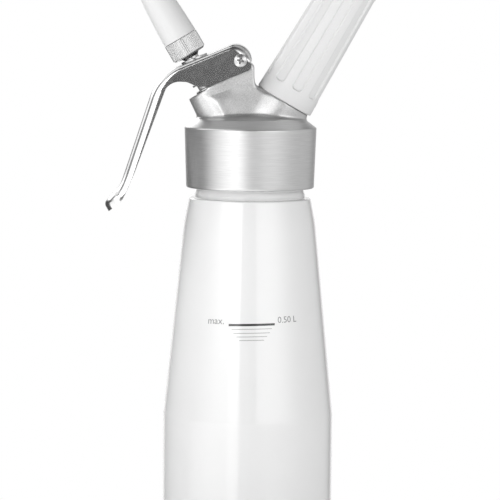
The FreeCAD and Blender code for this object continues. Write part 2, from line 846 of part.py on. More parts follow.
def turned_flute(low, high):
    """A shallow sector cut that follows the taper, centred on +X."""
    reach = 3.0
    sector = Part.Face(rounded_wire([
        (holder_radius(low) - flute_depth, low, 0),
        (holder_radius(low) + reach, low, 0),
        (holder_radius(high) + reach, high, 0),
        (holder_radius(high) - flute_depth, high, 0),
    ])).revolve(ORIGIN, UP, flute_angle)
    sector.rotate(ORIGIN, UP, -flute_angle / 2)
    corner = 1.6
    edges = [edge for edge in sector.Edges if is_radial_corner(edge)]
    return sector.makeFillet(corner, edges)


def is_radial_corner(edge):
    """True for the four edges at a flute's corners, which run outward."""
    if len(edge.Vertexes) != 2:
        return False
    first = edge.Vertexes[0].Point
    second = edge.Vertexes[1].Point
    return abs(first.z - second.z) < 1e-6 and abs(first.cross(second).z) < 1e-3


def make_check_valve_stud():
    """The hollow stud under the gas inlet that holds the rubber sleeve."""
    top = valve_stud_top
    sleeve_low = valve_sleeve_low
    stud = turned([
        (0.7, sleeve_low + 1.5, 0),
        (0.7, top, 0),
        (gas_channel_radius, top, 0),
        (gas_channel_radius, sleeve_low, 0),
        (valve_stud_radius, sleeve_low, 0.3),
        (valve_stud_radius, sleeve_low - 1.6, 0.4),
        (0, sleeve_low - 1.6, 0),
        (0, sleeve_low + 1.5, 0),
    ])
    reach = 2 * gas_channel_radius
    port = Part.makeCylinder(0.5, 2 * reach, Vector(-reach, 0, sleeve_low + 2.4), Vector(1, 0, 0))
    return placed(stud.cut(port), CHARGER)


def make_check_valve_sleeve():
    return placed(ring(gas_channel_radius, gas_channel_radius + valve_sleeve_wall,
                       valve_sleeve_low, valve_sleeve_top), CHARGER)


parts["bottle"] = make_bottle()
parts["head_gasket"] = make_gasket()
parts["head_casting"] = make_head()
parts["valve_guide_nut"] = make_guide_nut()
parts["stem_o_ring"] = make_o_ring()
parts["spring_seat_washer"] = make_seat_washer()
parts["return_spring"] = make_spring()
parts["piercing_pin"] = make_piercing_pin()
parts["pin_seal"] = make_pin_seal()
parts["check_valve_stud"] = make_check_valve_stud()
parts["check_valve_sleeve"] = make_check_valve_sleeve()
parts["valve_stem"] = make_stem()
parts["valve_piston"] = make_piston()
parts["piston_seal"] = make_piston_seal()
parts["tip_adapter"] = make_adapter()
parts["tip_seal"] = make_tip_seal()
parts["tip_collar"] = make_tip_collar()
parts["tip_cone"] = make_tip_cone()
parts["lever"] = make_lever()
parts["lever_washer"] = make_lever_washer()
parts["pivot_sleeve"] = make_pivot_sleeve()
parts["pivot_screw"] = make_pivot_screw()
parts["charger"] = make_charger()
parts["charger_cap"] = make_charger_cap()
parts["charger_holder"] = make_holder()

os.makedirs("parts", exist_ok=True)
for name, shape in parts.items():
    shape.exportStep("parts/" + name + ".step")
    box = shape.BoundBox
    print(f"{name:22s} solids {len(shape.Solids)} valid {shape.isValid()} volume {shape.Volume:9.1f} "
          f"x {box.XMin:7.2f} {box.XMax:7.2f}  z {box.ZMin:7.2f} {box.ZMax:7.2f}")
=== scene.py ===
# %% [markdown]
# # A whipped cream dispenser
# A white lacquered bottle carries a blasted aluminium head. On the head sit a polished lever with
# its valve and decorator tip, and a white holder with the gas charger inside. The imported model
# gives the place and size of every piece, and this notebook gives each piece its real surface.

# %% Load the frame
import math

import bmesh
import bpy
import numpy as np
from mathutils import Matrix, Vector


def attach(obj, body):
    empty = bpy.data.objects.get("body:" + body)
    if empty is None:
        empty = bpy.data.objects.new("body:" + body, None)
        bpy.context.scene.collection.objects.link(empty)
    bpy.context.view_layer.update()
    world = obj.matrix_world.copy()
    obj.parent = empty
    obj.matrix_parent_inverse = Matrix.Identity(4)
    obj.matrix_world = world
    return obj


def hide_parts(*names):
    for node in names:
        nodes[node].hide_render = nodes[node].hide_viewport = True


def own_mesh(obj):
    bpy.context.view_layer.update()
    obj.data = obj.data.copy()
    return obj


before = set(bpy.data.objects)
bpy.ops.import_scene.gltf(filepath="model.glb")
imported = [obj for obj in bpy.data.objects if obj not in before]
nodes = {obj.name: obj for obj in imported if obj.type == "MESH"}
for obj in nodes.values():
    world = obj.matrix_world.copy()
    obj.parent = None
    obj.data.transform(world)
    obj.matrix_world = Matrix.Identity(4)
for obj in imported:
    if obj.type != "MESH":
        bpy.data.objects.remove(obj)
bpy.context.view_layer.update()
print("nodes in the frame:", len(nodes))

# %% [markdown]
# ## Axes of the object
# The bottle, the skirt and the dome share the upright axis. The valve and the charger each have a
# leaning axis of their own that starts on the face of its branch. Every turned piece is modelled
# upright, in millimetres, and then set on its axis, so its profile reads like a drawing.

# %% Axes
MM = 0.001
BRANCH_HEIGHT = 190.6
VALVE_LEAN, VALVE_REACH = 31.0, 39.2
CHARGER_LEAN, CHARGER_REACH = 30.2, 31.6


def branch_axis(lean, reach):
    """The frame on the face of a branch: Z runs outward along the branch."""
    turn = Matrix.Rotation(math.radians(lean), 4, "Y")
    face = Vector((0, 0, BRANCH_HEIGHT)) + turn @ Vector((0, 0, reach))
    return Matrix.Translation(face) @ turn


UPRIGHT = Matrix.Identity(4)
VALVE_AXIS = branch_axis(-VALVE_LEAN, VALVE_REACH)
CHARGER_AXIS = branch_axis(CHARGER_LEAN, CHARGER_REACH)
PIVOT_X, PIVOT_Z = -5.1, 237.5
print("valve face at", [round(v, 2) for v in VALVE_AXIS.translation])
print("charger face at", [round(v, 2) for v in CHARGER_AXIS.translation])

# %% [markdown]
# ## Sums of sockets
# Patterns in a material, and rules in a geometry tree, are sums of node outputs. A small class
# wraps an output so that such a sum can be written as plain Python, and adds the Math nodes.


# %% Sums of sockets
class Term:
    """One node output that can stand in a Python sum."""

    def __init__(self, tree, socket):
        self.tree = tree
        self.socket = socket

    def math(self, operation, *others):
        return self.tree.math(operation, self, *others)

    def __add__(self, other):
        return self.math("ADD", other)

    def __mul__(self, other):
        return self.math("MULTIPLY", other)

    def __sub__(self, other):
        return self.math("SUBTRACT", other)

    def __rsub__(self, other):
        return self.tree.math("SUBTRACT", other, self)

    def __truediv__(self, other):
        return self.math("DIVIDE", other)

    __radd__ = __add__
    __rmul__ = __mul__

    def part(self, name):
        """Another output of the same node."""
        return Term(self.tree, self.socket.node.outputs[name])


class Tree:
    """A node tree, for a material or for geometry, with short ways to add to it."""

    def __init__(self, node_tree):
        self.node_tree = node_tree
        node_tree.nodes.clear()

    def node(self, kind, settings=None, inputs=None, output=0):
        made = self.node_tree.nodes.new(kind)
        for name, value in (settings or {}).items():
            setattr(made, name, value)
        for name, value in (inputs or {}).items():
            if isinstance(value, Term):
                self.node_tree.links.new(value.socket, made.inputs[name])
            else:
                made.inputs[name].default_value = value
        return Term(self, made.outputs[output]) if made.outputs else made

    def math(self, operation, *values):
        return self.node("ShaderNodeMath", {"operation": operation}, dict(enumerate(values)))

    def smooth(self, value, low, high):
        """0 below low, 1 above high, and a soft step between them."""
        return self.node("ShaderNodeMapRange", {"interpolation_type": "SMOOTHSTEP"}, {
            "Value": value, "From Min": low, "From Max": high})

    def noise(self, place, scale, detail=2.0, roughness=0.5):
        return self.node("ShaderNodeTexNoise", {}, {
            "Vector": place, "Scale": scale, "Detail": detail, "Roughness": roughness})

    def stretched(self, place, x, y, z):
        """The place, stretched per axis, so that a pattern draws out into lines."""
        return self.node("ShaderNodeMapping", {}, {"Vector": place, "Scale": (x, y, z)})

    def colour(self, factor, first, second):
        """A colour between two, by a factor."""
        mix_inputs = {0: factor, 6: first, 7: second}
        return self.node("ShaderNodeMix", {"data_type": "RGBA"}, mix_inputs, 2)

    def bump(self, height, distance, strength):
        inputs = {"Height": height, "Distance": distance, "Strength": strength}
        return self.node("ShaderNodeBump", {}, inputs)


def grey(shade):
    return (shade, shade, shade, 1.0)


def finish_named(name, plain, pattern):
    """A material from plain socket values and a function that draws its patterns."""
    material = bpy.data.materials.new(name)
    material.use_nodes = True
    tree = Tree(material.node_tree)
    place = tree.node("ShaderNodeTexCoord", output="Object")
    shader = tree.node("ShaderNodeBsdfPrincipled", {}, {**plain, **pattern(tree, place)})
    tree.node("ShaderNodeOutputMaterial", {}, {"Surface": shader})
    return material


def grained(scale, detail, shades, roughness, relief):
    """A pattern in which one fine noise carries shade, roughness and relief together."""
    def pattern(tree, place):
        grain = tree.noise(place, scale, detail)
        return {
            "Base Color": tree.colour(grain, grey(shades[0]), grey(shades[1])),
            "Roughness": roughness[0] + grain * roughness[1],
            "Normal": tree.bump(grain, *relief),
        }
    return pattern


print("helpers for node trees are ready")

# %% [markdown]
# ## White lacquer
# The bottle is sprayed white and then cleared, so a matte white body lies under a sharp gloss coat.
# A sprayed coat is never quite flat: a wide, very shallow ripple bends its reflections a little.


# %% White lacquer
def lacquer_pattern(tree, place):
    mottling = tree.noise(place, 60.0, 3.0)
    ripple = tree.noise(place, 420.0, 1.5, 0.4)
    return {
        "Base Color": tree.colour(mottling, grey(0.80), grey(0.83)),
        "Roughness": 0.30 + mottling * 0.12,
        "Normal": tree.bump(ripple, 0.000012, 0.35),
    }


white_lacquer = finish_named("white_enamel", {
    "Coat Weight": 1.0, "Coat Roughness": 0.05, "Coat IOR": 1.5, "IOR": 1.45}, lacquer_pattern)
print("made", white_lacquer.name)

# %% [markdown]
# ## Blasted cast aluminium
# The branches of the head are blasted with fine beads. Up close that skin is a field of tiny pits,
# each one a little lighter or darker as it catches the light, and the gloss is spread wide. The
# skirt and the dome are turned on a lathe after casting, so below the branches the pits give way
# to faint rings.

# %% Blasted aluminium
CAST_ABOVE = (0.2092, 0.2112)


def blasted_pattern(tree, place):
    pits = tree.noise(place, 2600.0, 2.0, 0.55)
    clouds = tree.noise(place, 160.0, 3.0)
    grain = tree.smooth(pits, 0.3, 0.7)
    rings = tree.noise(tree.stretched(place, 120.0, 120.0, 2600.0), 1.0, 3.0)
    height = tree.node("ShaderNodeSeparateXYZ", {}, {0: place}).part("Z")
    cast = tree.smooth(height, *CAST_ABOVE)
    texture = pits * cast + rings * (1.0 - cast) * 0.25
    light = grain * cast + rings * (1.0 - cast)
    return {
        "Base Color": tree.colour(light, grey(0.54), grey(0.71)),
        "Roughness": 0.39 - cast * 0.05 + grain * cast * 0.08 + clouds * 0.04,
        "Normal": tree.bump(texture, 0.00008, 0.55),
    }


blasted_aluminium = finish_named("blasted_aluminium", {"Metallic": 1.0}, blasted_pattern)
print("made", blasted_aluminium.name)

# %% [markdown]
# ## Polished and turned metals
# The lever is polished by a wheel, which leaves hair lines along it. The small turned pieces carry
# rings from the cutting edge, and the charger is plated steel with a faint orange peel.


# %% Polished and turned metals
def polished_pattern(tree, place):
    hairs = tree.noise(tree.stretched(place, 260.0, 2600.0, 260.0), 1.0, 2.0)
    haze = tree.noise(place, 90.0, 3.0)
    return {
        "Base Color": tree.colour(haze, grey(0.62), grey(0.69)),
        "Roughness": 0.13 + hairs * 0.07 + haze * 0.05,
        "Normal": tree.bump(hairs, 0.000004, 0.5),
    }


def turned_pattern(tree, place):
    rings = tree.noise(tree.stretched(place, 500.0, 500.0, 4200.0), 1.0, 2.0)
    return {
        "Base Color": tree.colour(rings, grey(0.50), grey(0.60)),
        "Roughness": 0.24 + rings * 0.12,
        "Normal": tree.bump(rings, 0.000006, 0.5),
    }


metal = {"Metallic": 1.0}
polished_steel = finish_named("polished_steel", metal, polished_pattern)
turned_steel = finish_named("steel_turned", metal, turned_pattern)
knurled_aluminium = finish_named("knurled_aluminium", metal, grained(
    900.0, 2.0, (0.56, 0.64), (0.20, 0.12), (0.00001, 0.4)))
plated_steel = finish_named("steel_plated", metal, grained(
    700.0, 2.0, (0.60, 0.68), (0.22, 0.10), (0.00001, 0.4)))
print("made", polished_steel.name, turned_steel.name, knurled_aluminium.name, plated_steel.name)

# %% [markdown]
# ## White plastic and rubber
# The holder and the nozzle are moulded in opaque white plastic with a satin skin, copied from a
# spark-eroded mould. The seals are silicone and black rubber, both dull, with a dusty grain.


# %% White plastic and rubber
def moulded_pattern(tree, place):
    skin = tree.noise(place, 2200.0, 2.0)
    flow = tree.noise(place, 45.0, 2.0)
    return {
        "Base Color": tree.colour(flow, grey(0.71), grey(0.745)),
        "Roughness": 0.36 + skin * 0.10,
        "Normal": tree.bump(skin, 0.000012, 0.4),
    }


def rubber_pattern(dark, light):
    return grained(1500.0, 3.0, (dark, light), (0.62, 0.2), (0.00002, 0.5))


white_plastic = finish_named("plastic_white", {"IOR": 1.47}, moulded_pattern)
silicone = finish_named("rubber_pale", {"IOR": 1.41}, rubber_pattern(0.60, 0.66))
black_rubber = finish_named("rubber_dark", {"IOR": 1.5}, rubber_pattern(0.03, 0.05))
print("made", white_plastic.name, silicone.name, black_rubber.name)

# %% [markdown]
# ## Printing inks
# The fill mark is screen printed under the clear coat, so the inks carry the same gloss.


# %% Printing inks
def ink_pattern(dark, light):
    def pattern(tree, place):
        speckle = tree.noise(place, 3000.0, 2.0)
        return {
            "Base Color": tree.colour(speckle, grey(dark), grey(light)),
            "Roughness": 0.35 + speckle * 0.1,
        }
    return pattern


coat = {"Coat Weight": 1.0, "Coat Roughness": 0.05}
black_ink = finish_named("black_ink", coat, ink_pattern(0.012, 0.02))
grey_ink = finish_named("grey_ink", coat, ink_pattern(0.20, 0.26))
print("made", black_ink.name, grey_ink.name)

# %% [markdown]
# ## From a drawing to a mesh
# A turned piece is a closed profile of radii and heights. Its corners are given with a radius, as
# on a drawing, and each becomes a short arc. One point just outside each arc keeps the flats flat
# when the surface is shaded smooth.


# %% From a drawing to a mesh
def rounded(corners, steps=5, closed=True):
    """Points along a path of (across, up, radius) corners, each corner an arc."""
    count = len(corners)
    points = []
    for i, (x, z, radius) in enumerate(corners):
        at_end = not closed and i in (0, count - 1)
        if radius <= 0 or at_end:
            points.append((x, z))
            continue
        here = np.array((x, z), float)
        before = np.array(corners[i - 1][:2]) - here
        after = np.array(corners[(i + 1) % count][:2]) - here
        before /= np.linalg.norm(before)
        after /= np.linalg.norm(after)
        half = math.acos(max(-1.0, min(1.0, float(before @ after)))) / 2
        reach = radius / math.tan(half)
        guard = min(0.2 * reach, 0.35)
        middle = (before + after) / np.linalg.norm(before + after)
        centre = here + middle * radius / math.sin(half)
        start, end = here + before * reach, here + after * reach
        points.append(tuple(start + before * guard))
        first = math.atan2(*(start - centre)[::-1])
        sweep = (math.atan2(*(end - centre)[::-1]) - first + math.pi) % (2 * math.pi) - math.pi
        for step in range(steps + 1):
            angle = first + sweep * step / steps
            points.append(tuple(centre + radius * np.array((math.cos(angle), math.sin(angle)))))
        points.append(tuple(end + after * guard))
    return points


def turned(profile, around):
    """Vertices and faces of a closed (radius, height) profile turned about Z."""
    vertices, rings = [], []
    for radius, height in profile:
        if radius < 1e-6:
            rings.append([len(vertices)] * around)
            vertices.append((0.0, 0.0, height))
            continue
        rings.append(list(range(len(vertices), len(vertices) + around)))
        for i in range(around):
            angle = 2 * math.pi * i / around
            vertices.append((radius * math.cos(angle), radius * math.sin(angle), height))
    faces = []
    for lower, upper in zip(rings, rings[1:] + rings[:1]):
        for i in range(around):
            j = (i + 1) % around
            quad = list(dict.fromkeys((lower[i], lower[j], upper[j], upper[i])))
            if len(quad) > 2:
                faces.append(quad)
    return vertices, faces


def mesh_object(name, vertices, faces, axis=UPRIGHT, material=None, crease=38.0):
    """An object whose mesh is given upright in millimetres and set on an axis of the object."""
    mesh = bpy.data.meshes.new(name)
    mesh.from_pydata([tuple(v) for v in vertices], [], faces)
    mesh.transform(Matrix.Scale(MM, 4) @ axis)
    tidy_mesh(mesh, crease)
    made = bpy.data.objects.new(name, mesh)
    bpy.context.scene.collection.objects.link(made)
    if material:
        mesh.materials.append(material)
    return made


def tidy_mesh(mesh, crease):
    """Merges doubles, points the faces outward and shades smooth up to a crease angle."""
    shape = bmesh.new()
    shape.from_mesh(mesh)
    bmesh.ops.remove_doubles(shape, verts=shape.verts, dist=1e-7)
    bmesh.ops.delete(shape, geom=[v for v in shape.verts if not v.link_faces], context="VERTS")
    bmesh.ops.recalc_face_normals(shape, faces=shape.faces)
    shape.to_mesh(mesh)
    shape.free()
    mesh.polygons.foreach_set("use_smooth", [True] * len(mesh.polygons))
    mesh.set_sharp_from_angle(angle=math.radians(crease))
    mesh.update()


def baked(made):
    """Turns an object and its modifiers into a plain mesh on the same object."""
    graph = bpy.context.evaluated_depsgraph_get()
    graph.update()
    mesh = bpy.data.meshes.new_from_object(made.evaluated_get(graph))
    made.modifiers.clear()
    made.data = mesh
    return made


def joined(name, *objects):
    """One object from several."""
    first = objects[0]
    with bpy.context.temp_override(active_object=first, selected_editable_objects=list(objects)):
        bpy.ops.object.join()
    first.name = first.data.name = name
    return first


def settle(piece, body, slot, *replaced):
    """Puts a finished piece on its body and lets it stand for its CAD nodes."""
    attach(piece, body)
    if replaced:
        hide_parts(*replaced)
    print(piece.name, "faces", len(piece.data.polygons), "on", body)
    return piece


print("helpers for meshes are ready")

# %% [markdown]
# ## Screw threads and springs
# A thread is a ridge that climbs round a cylinder, and a spring is the same path with a round wire.
# One geometry tree makes both: a spiral curve, thinned to nothing at its ends for a thread, swept
# with a round section. Each screw joint uses the pitch at which its pieces really rise as they
# turn.

# %% The coil tree
THREAD_TAPER = 0.06
THIN_END = 0.02


def tree_with_inputs(name, inputs):
    """A geometry tree with named numeric inputs, and the terms that read them."""
    group = bpy.data.node_groups.new(name, "GeometryNodeTree")
    tree = Tree(group)
    group.interface.new_socket("Geometry", in_out="INPUT", socket_type="NodeSocketGeometry")
    for label in inputs:
        group.interface.new_socket(label, in_out="INPUT", socket_type="NodeSocketFloat")
    group.interface.new_socket("Geometry", in_out="OUTPUT", socket_type="NodeSocketGeometry")
    source = tree.node("NodeGroupInput")
    terms = {label: source.part(label) for label in inputs}
    terms["Geometry"] = source
    return tree, terms


def end_tree(tree, geometry, material):
    """Ends a tree as the export needs it: real geometry with its material set."""
    real = tree.node("GeometryNodeRealizeInstances", {}, {0: geometry})
    dressed = tree.node("GeometryNodeSetMaterial", {}, {"Geometry": real, "Material": material})
    tree.node("NodeGroupOutput", {}, {0: dressed})
    return tree.node_tree


def run_tree(made, group, values):
    """Runs a geometry tree on an object with the given input values, and keeps the plain mesh."""
    modifier = made.modifiers.new(group.name, "NODES")
    modifier.node_group = group
    for item in group.interface.items_tree:
        if item.in_out == "INPUT" and item.name in values:
            modifier[item.identifier] = float(values[item.name])
    return baked(made)


def coil_tree(material, sides=10):
    tree, given = tree_with_inputs("coil_" + material.name, [
        "Turns", "Radius", "Rise", "Wire", "Taper"])
    spiral = tree.node("GeometryNodeCurveSpiral", {}, {
        "Resolution": 48, "Rotations": given["Turns"], "Start Radius": given["Radius"],
        "End Radius": given["Radius"], "Height": given["Rise"]})
    along = tree.node("GeometryNodeSplineParameter")
    nearest_end = along.math("MINIMUM", 1.0 - along)
    thickness = tree.smooth(nearest_end, -0.0001, given["Taper"]) * (1 - THIN_END) + THIN_END
    shaped = tree.node("GeometryNodeSetCurveRadius", {}, {"Curve": spiral, "Radius": thickness})
    section = tree.node("GeometryNodeCurvePrimitiveCircle", {}, {
        "Resolution": sides, "Radius": given["Wire"]})
    swept = tree.node("GeometryNodeCurveToMesh", {}, {
        "Curve": shaped, "Profile Curve": section, "Fill Caps": True})
    return end_tree(tree, swept, material)


def set_on(made, axis, crease, low=0.0):
    """Sets a mesh made upright, in metres, on an axis of the object, from a height up."""
    lift = Matrix.Translation((0, 0, low))
    made.data.transform(Matrix.Scale(MM, 4) @ axis @ lift @ Matrix.Scale(1 / MM, 4))
    tidy_mesh(made.data, crease)
    return made


def coil(name, group, turns, radius, pitch, wire, low, axis, taper=THREAD_TAPER):
    """A coil about an axis, from a height up, as an object."""
    made = mesh_object(name, [(0, 0, 0)], [])
    run_tree(made, group, {
        "Turns": turns, "Radius": radius * MM, "Rise": turns * pitch * MM, "Wire": wire * MM,
        "Taper": taper})
    return set_on(made, axis, 50.0, low)


print("coil tree is ready")

# %% [markdown]
# ## The bottle
# The bottle is drawn from one aluminium blank: straight at the foot, a long taper, a rounded
# shoulder and a rolled neck with a round thread. The inside is part of the same skin, so the wall
# and the rim are real. The foot has a shallow punt that leaves a ring to stand on.

# %% The bottle
SHOULDER, RIM = 171.2, 201.2
FOOT_RADIUS, FOOT_TOP = 40.97, 66.5
TAPER_RADIUS, TAPER_TOP = 31.7, 158.8
PUNT, RING, WALL = 4.0, 31.0, 1.5
NECK, BORE = 25.8, 23.3
HEAD_PITCH = 4.0
bottle_outside = [
    (0, PUNT, 0), (23.0, PUNT, 6), (RING, 0, 2), (FOOT_RADIUS, 0, 6), (FOOT_RADIUS, FOOT_TOP, 12),
    (TAPER_RADIUS, TAPER_TOP, 60), (29.3, SHOULDER, 0.9), (26.6, SHOULDER, 0.3),
    (26.6, SHOULDER + 1.6, 0.6), (NECK, SHOULDER + 4, 1.2), (NECK, RIM - 1.0, 0.6),
    (25.3, RIM, 0.5), (BORE, RIM, 0.6)]
bottle_inside = [
    (BORE, 168.7, 6), (26.3, 164.7, 6), (TAPER_RADIUS - WALL, TAPER_TOP, 60),
    (39.5, FOOT_TOP, 12), (39.5, WALL, 4.5), (RING, WALL, 2), (23.0, PUNT + WALL, 5),
    (0, PUNT + WALL, 0)]
bottle = mesh_object("bottle_shell", *turned(rounded(bottle_outside + bottle_inside, 7), 160),
                     material=white_lacquer)
neck_thread = coil("neck_thread", coil_tree(white_lacquer), 4.2, NECK - 0.05, HEAD_PITCH, 1.2,
                   SHOULDER + 10.2, UPRIGHT)
bottle = settle(joined("bottle_white", bottle, neck_thread), "bottle", "white_lacquer", "bottle")

# %% [markdown]
# ## The fill mark
# A bar and four shorter lines mark the largest fill, with generic words beside them. The marks are
# thin sheets wrapped round the bottle's taper, a few hundredths of a millimetre proud of it.

# %% The fill mark
MARK_FOOT_RADIUS = 41.0
MARK_LEVEL = 113.2
MARK_TURN = math.radians(2.4)
MARK_SLOPE = math.radians(1.3)
INK_HEIGHT = 0.03


def bottle_radius_at(height):
    """The radius on which the mark lies at a height of the taper."""
    share = (height - FOOT_TOP) / (TAPER_TOP - FOOT_TOP)
    return MARK_FOOT_RADIUS + (TAPER_RADIUS - MARK_FOOT_RADIUS) * share


def wrapped(points, level):
    """Flat points (along, up, proud) of a mark, bent round the bottle at a level."""
    bent = []
    for along, up, proud in points:
        height = level + up * math.cos(MARK_SLOPE) + along * math.sin(MARK_SLOPE)
        radius = bottle_radius_at(height) + proud
        angle = MARK_TURN + along / bottle_radius_at(level)
        bent.append((radius * math.sin(angle), -radius * math.cos(angle), height))
    return bent


def printed_line(name, half_length, thickness, level, ink, pieces=24):
    """A line of ink as a closed thin strip."""
    points, faces = [], []
    for i in range(pieces + 1):
        along = -half_length + 2 * half_length * i / pieces
        for up, side in ((-1, -1), (1, -1), (1, 1), (-1, 1)):
            points.append((along, up * thickness / 2, side * INK_HEIGHT))
    for i in range(pieces):
        for k in range(4):
            a, b = 4 * i + k, 4 * i + (k + 1) % 4
            faces.append((a, b, b + 4, a + 4))
    faces += [(3, 2, 1, 0), tuple(4 * pieces + k for k in range(4))]
    return mesh_object(name, wrapped(points, level), faces, material=ink)


def printed_word(name, text, size, centre, level, ink):
    """A word in the plain built-in face, wrapped like the lines."""
    curve = bpy.data.curves.new(name, "FONT")
    curve.body = text
    curve.size = size
    curve.align_x = "CENTER"
    curve.resolution_u = 4
    curve.extrude = INK_HEIGHT
    flat = bpy.data.objects.new(name, curve)
    bpy.context.scene.collection.objects.link(flat)
    graph = bpy.context.evaluated_depsgraph_get()
    mesh = bpy.data.meshes.new_from_object(flat.evaluated_get(graph))
    bpy.data.objects.remove(flat)
    points = [(v.co.x + centre, v.co.y, v.co.z) for v in mesh.vertices]
    faces = [tuple(p.vertices) for p in mesh.polygons]
    return mesh_object(name, wrapped(points, level), faces, material=ink)


black_mark = printed_line("fill_bar", 11.1, 1.05, MARK_LEVEL, black_ink)
grey_marks = [printed_line("fill_line", half, 0.22, MARK_LEVEL - drop, grey_ink)
              for half, drop in ((9.6, 2.0), (8.7, 3.9), (7.3, 5.6), (5.9, 7.3))]
grey_marks.append(printed_word("word_max", "max.", 4.6, -17.6, MARK_LEVEL + 0.4, grey_ink))
grey_marks.append(printed_word("word_volume", "0.50 L", 4.2, 17.8, MARK_LEVEL + 0.5, grey_ink))
settle(joined("fill_mark_lines", *grey_marks), "bottle", "white_lacquer")
settle(black_mark, "bottle", "white_lacquer")

# %% [markdown]
# ## The head casting
# The head is one casting, and the charm of a casting is its soft joins: the boss, the spigot and
# the lever lug melt into the dome with a wide fillet. Solids written as distance fields give that
# for free, because a smooth minimum of two distances is a blended union. The zero surface is then
# meshed with a surface net: one vertex in each grid cell that the surface crosses, pulled on to it.


# %% Distance fields
def polygon_distance(u, v, corners):
    """Signed distance in a plane from a closed polygon, negative inside."""
    distance = np.full(u.shape, 1e9)
    inside = np.zeros(u.shape, bool)
    for (u0, v0), (u1, v1) in zip(corners, corners[1:] + corners[:1]):
        run_u, run_v = u1 - u0, v1 - v0
        share = np.clip(((u - u0) * run_u + (v - v0) * run_v) / (run_u ** 2 + run_v ** 2), 0, 1)
        distance = np.minimum(distance, np.hypot(u - u0 - share * run_u, v - v0 - share * run_v))
        if abs(run_v) > 1e-12:
            crosses = ((v0 > v) != (v1 > v)) & (u < u0 + (v - v0) * run_u / run_v)
            inside ^= crosses
    return np.where(inside, -distance, distance)


def revolved(points, axis, corners):
    """Distance from a solid of revolution whose half section is a polygon on an axis."""
    local = points @ np.array(axis.inverted().to_3x3()).T + np.array(axis.inverted().translation)
    mirrored = [(-r, z) for r, z in reversed(corners)]
    outline = [c for c in corners if c[0] > 0] + [c for c in mirrored if c[0] < 0]
    return polygon_distance(np.hypot(local[:, 0], local[:, 1]), local[:, 2], outline)


def blend_union(a, b, width):
    """The union of two solids with a fillet of about the given width."""
    share = np.clip(0.5 + 0.5 * (b - a) / width, 0, 1)
    return b + (a - b) * share - width * share * (1 - share)


def blend_cut(a, b, width):
    """Solid a with solid b taken out, the new edge softened."""
    return -blend_union(-a, b, width)


def along_y(points, x, z, radius, half):
    """Distance from a cylinder along Y."""
    side = np.hypot(points[:, 0] - x, points[:, 2] - z) - radius
    return np.maximum(side, np.abs(points[:, 1]) - half)


print("distance fields are ready")

# %% [markdown]
# The solids below have the casting's real sizes. The boss tapers by five degrees and the spigot by
# three, as a casting must to leave its mould, and the lug is a plate with a little draft. Where the
# cheeks of the lever pass on their way down, the boss is kept narrower than the lever.

# %% The head as a distance field
SKIRT_LOW, SKIRT_TOP = 176.1, 205.0
LUG_HALF, LUG_DRAFT = 10.45, math.tan(math.radians(1.2))
LUG_TOP, LUG_END, HUB = 236.3, 1.55, 3.7
BOSS, BOSS_DEPTH = 11.3, 28.2
SPIGOT, SPIGOT_DEPTH = 13.4, 22.0
SPUD, SPUD_LENGTH, SPUD_PITCH = 10.15, 11.5, 2.0
FLARE, FLARE_LOW, FLARE_RISE = 1.3, 213.5, 13.5
boss_root = BOSS + BOSS_DEPTH * math.tan(math.radians(5))
spigot_root = SPIGOT + SPIGOT_DEPTH * math.tan(math.radians(3))


def on_axis(axis, across, along):
    """A point in the XZ plane, given on a leaning axis."""
    point = axis @ Vector((across, 0, along))
    return (point.x, point.z)


lug_outline = [
    on_axis(VALVE_AXIS, 0, -37.2), on_axis(VALVE_AXIS, 0, 0), on_axis(VALVE_AXIS, 10.6, 0),
    (PIVOT_X - HUB, 233.8), (PIVOT_X - HUB, LUG_TOP),
    *rounded([(-4.0, LUG_TOP, 0), (LUG_END, LUG_TOP, 2.9), (1.6, 229.0, 0)], 6, closed=False)[1:],
    (1.9, 226.6), (2.5, 225.4), (3.6, 224.6), on_axis(CHARGER_AXIS, -12.6, -0.3),
    on_axis(CHARGER_AXIS, 0, -0.4), on_axis(CHARGER_AXIS, 0, -29.6)]
web_outline = [
    on_axis(VALVE_AXIS, 0, -37.2), on_axis(VALVE_AXIS, 0, -3.6), on_axis(VALVE_AXIS, 9.0, -3.6),
    (1.2, 226.0), (2.6, 224.2), on_axis(CHARGER_AXIS, -11.4, -0.8), on_axis(CHARGER_AXIS, 0, -0.8),
    on_axis(CHARGER_AXIS, 0, -29.6)]
CHEEK_ROOM = 10.95
cheek_way = [
    (-40, 219.6), (-24, 219.7), (-18, 221.2), (-8, 224.4), (4, 229), (4, 250), (-40, 250)]


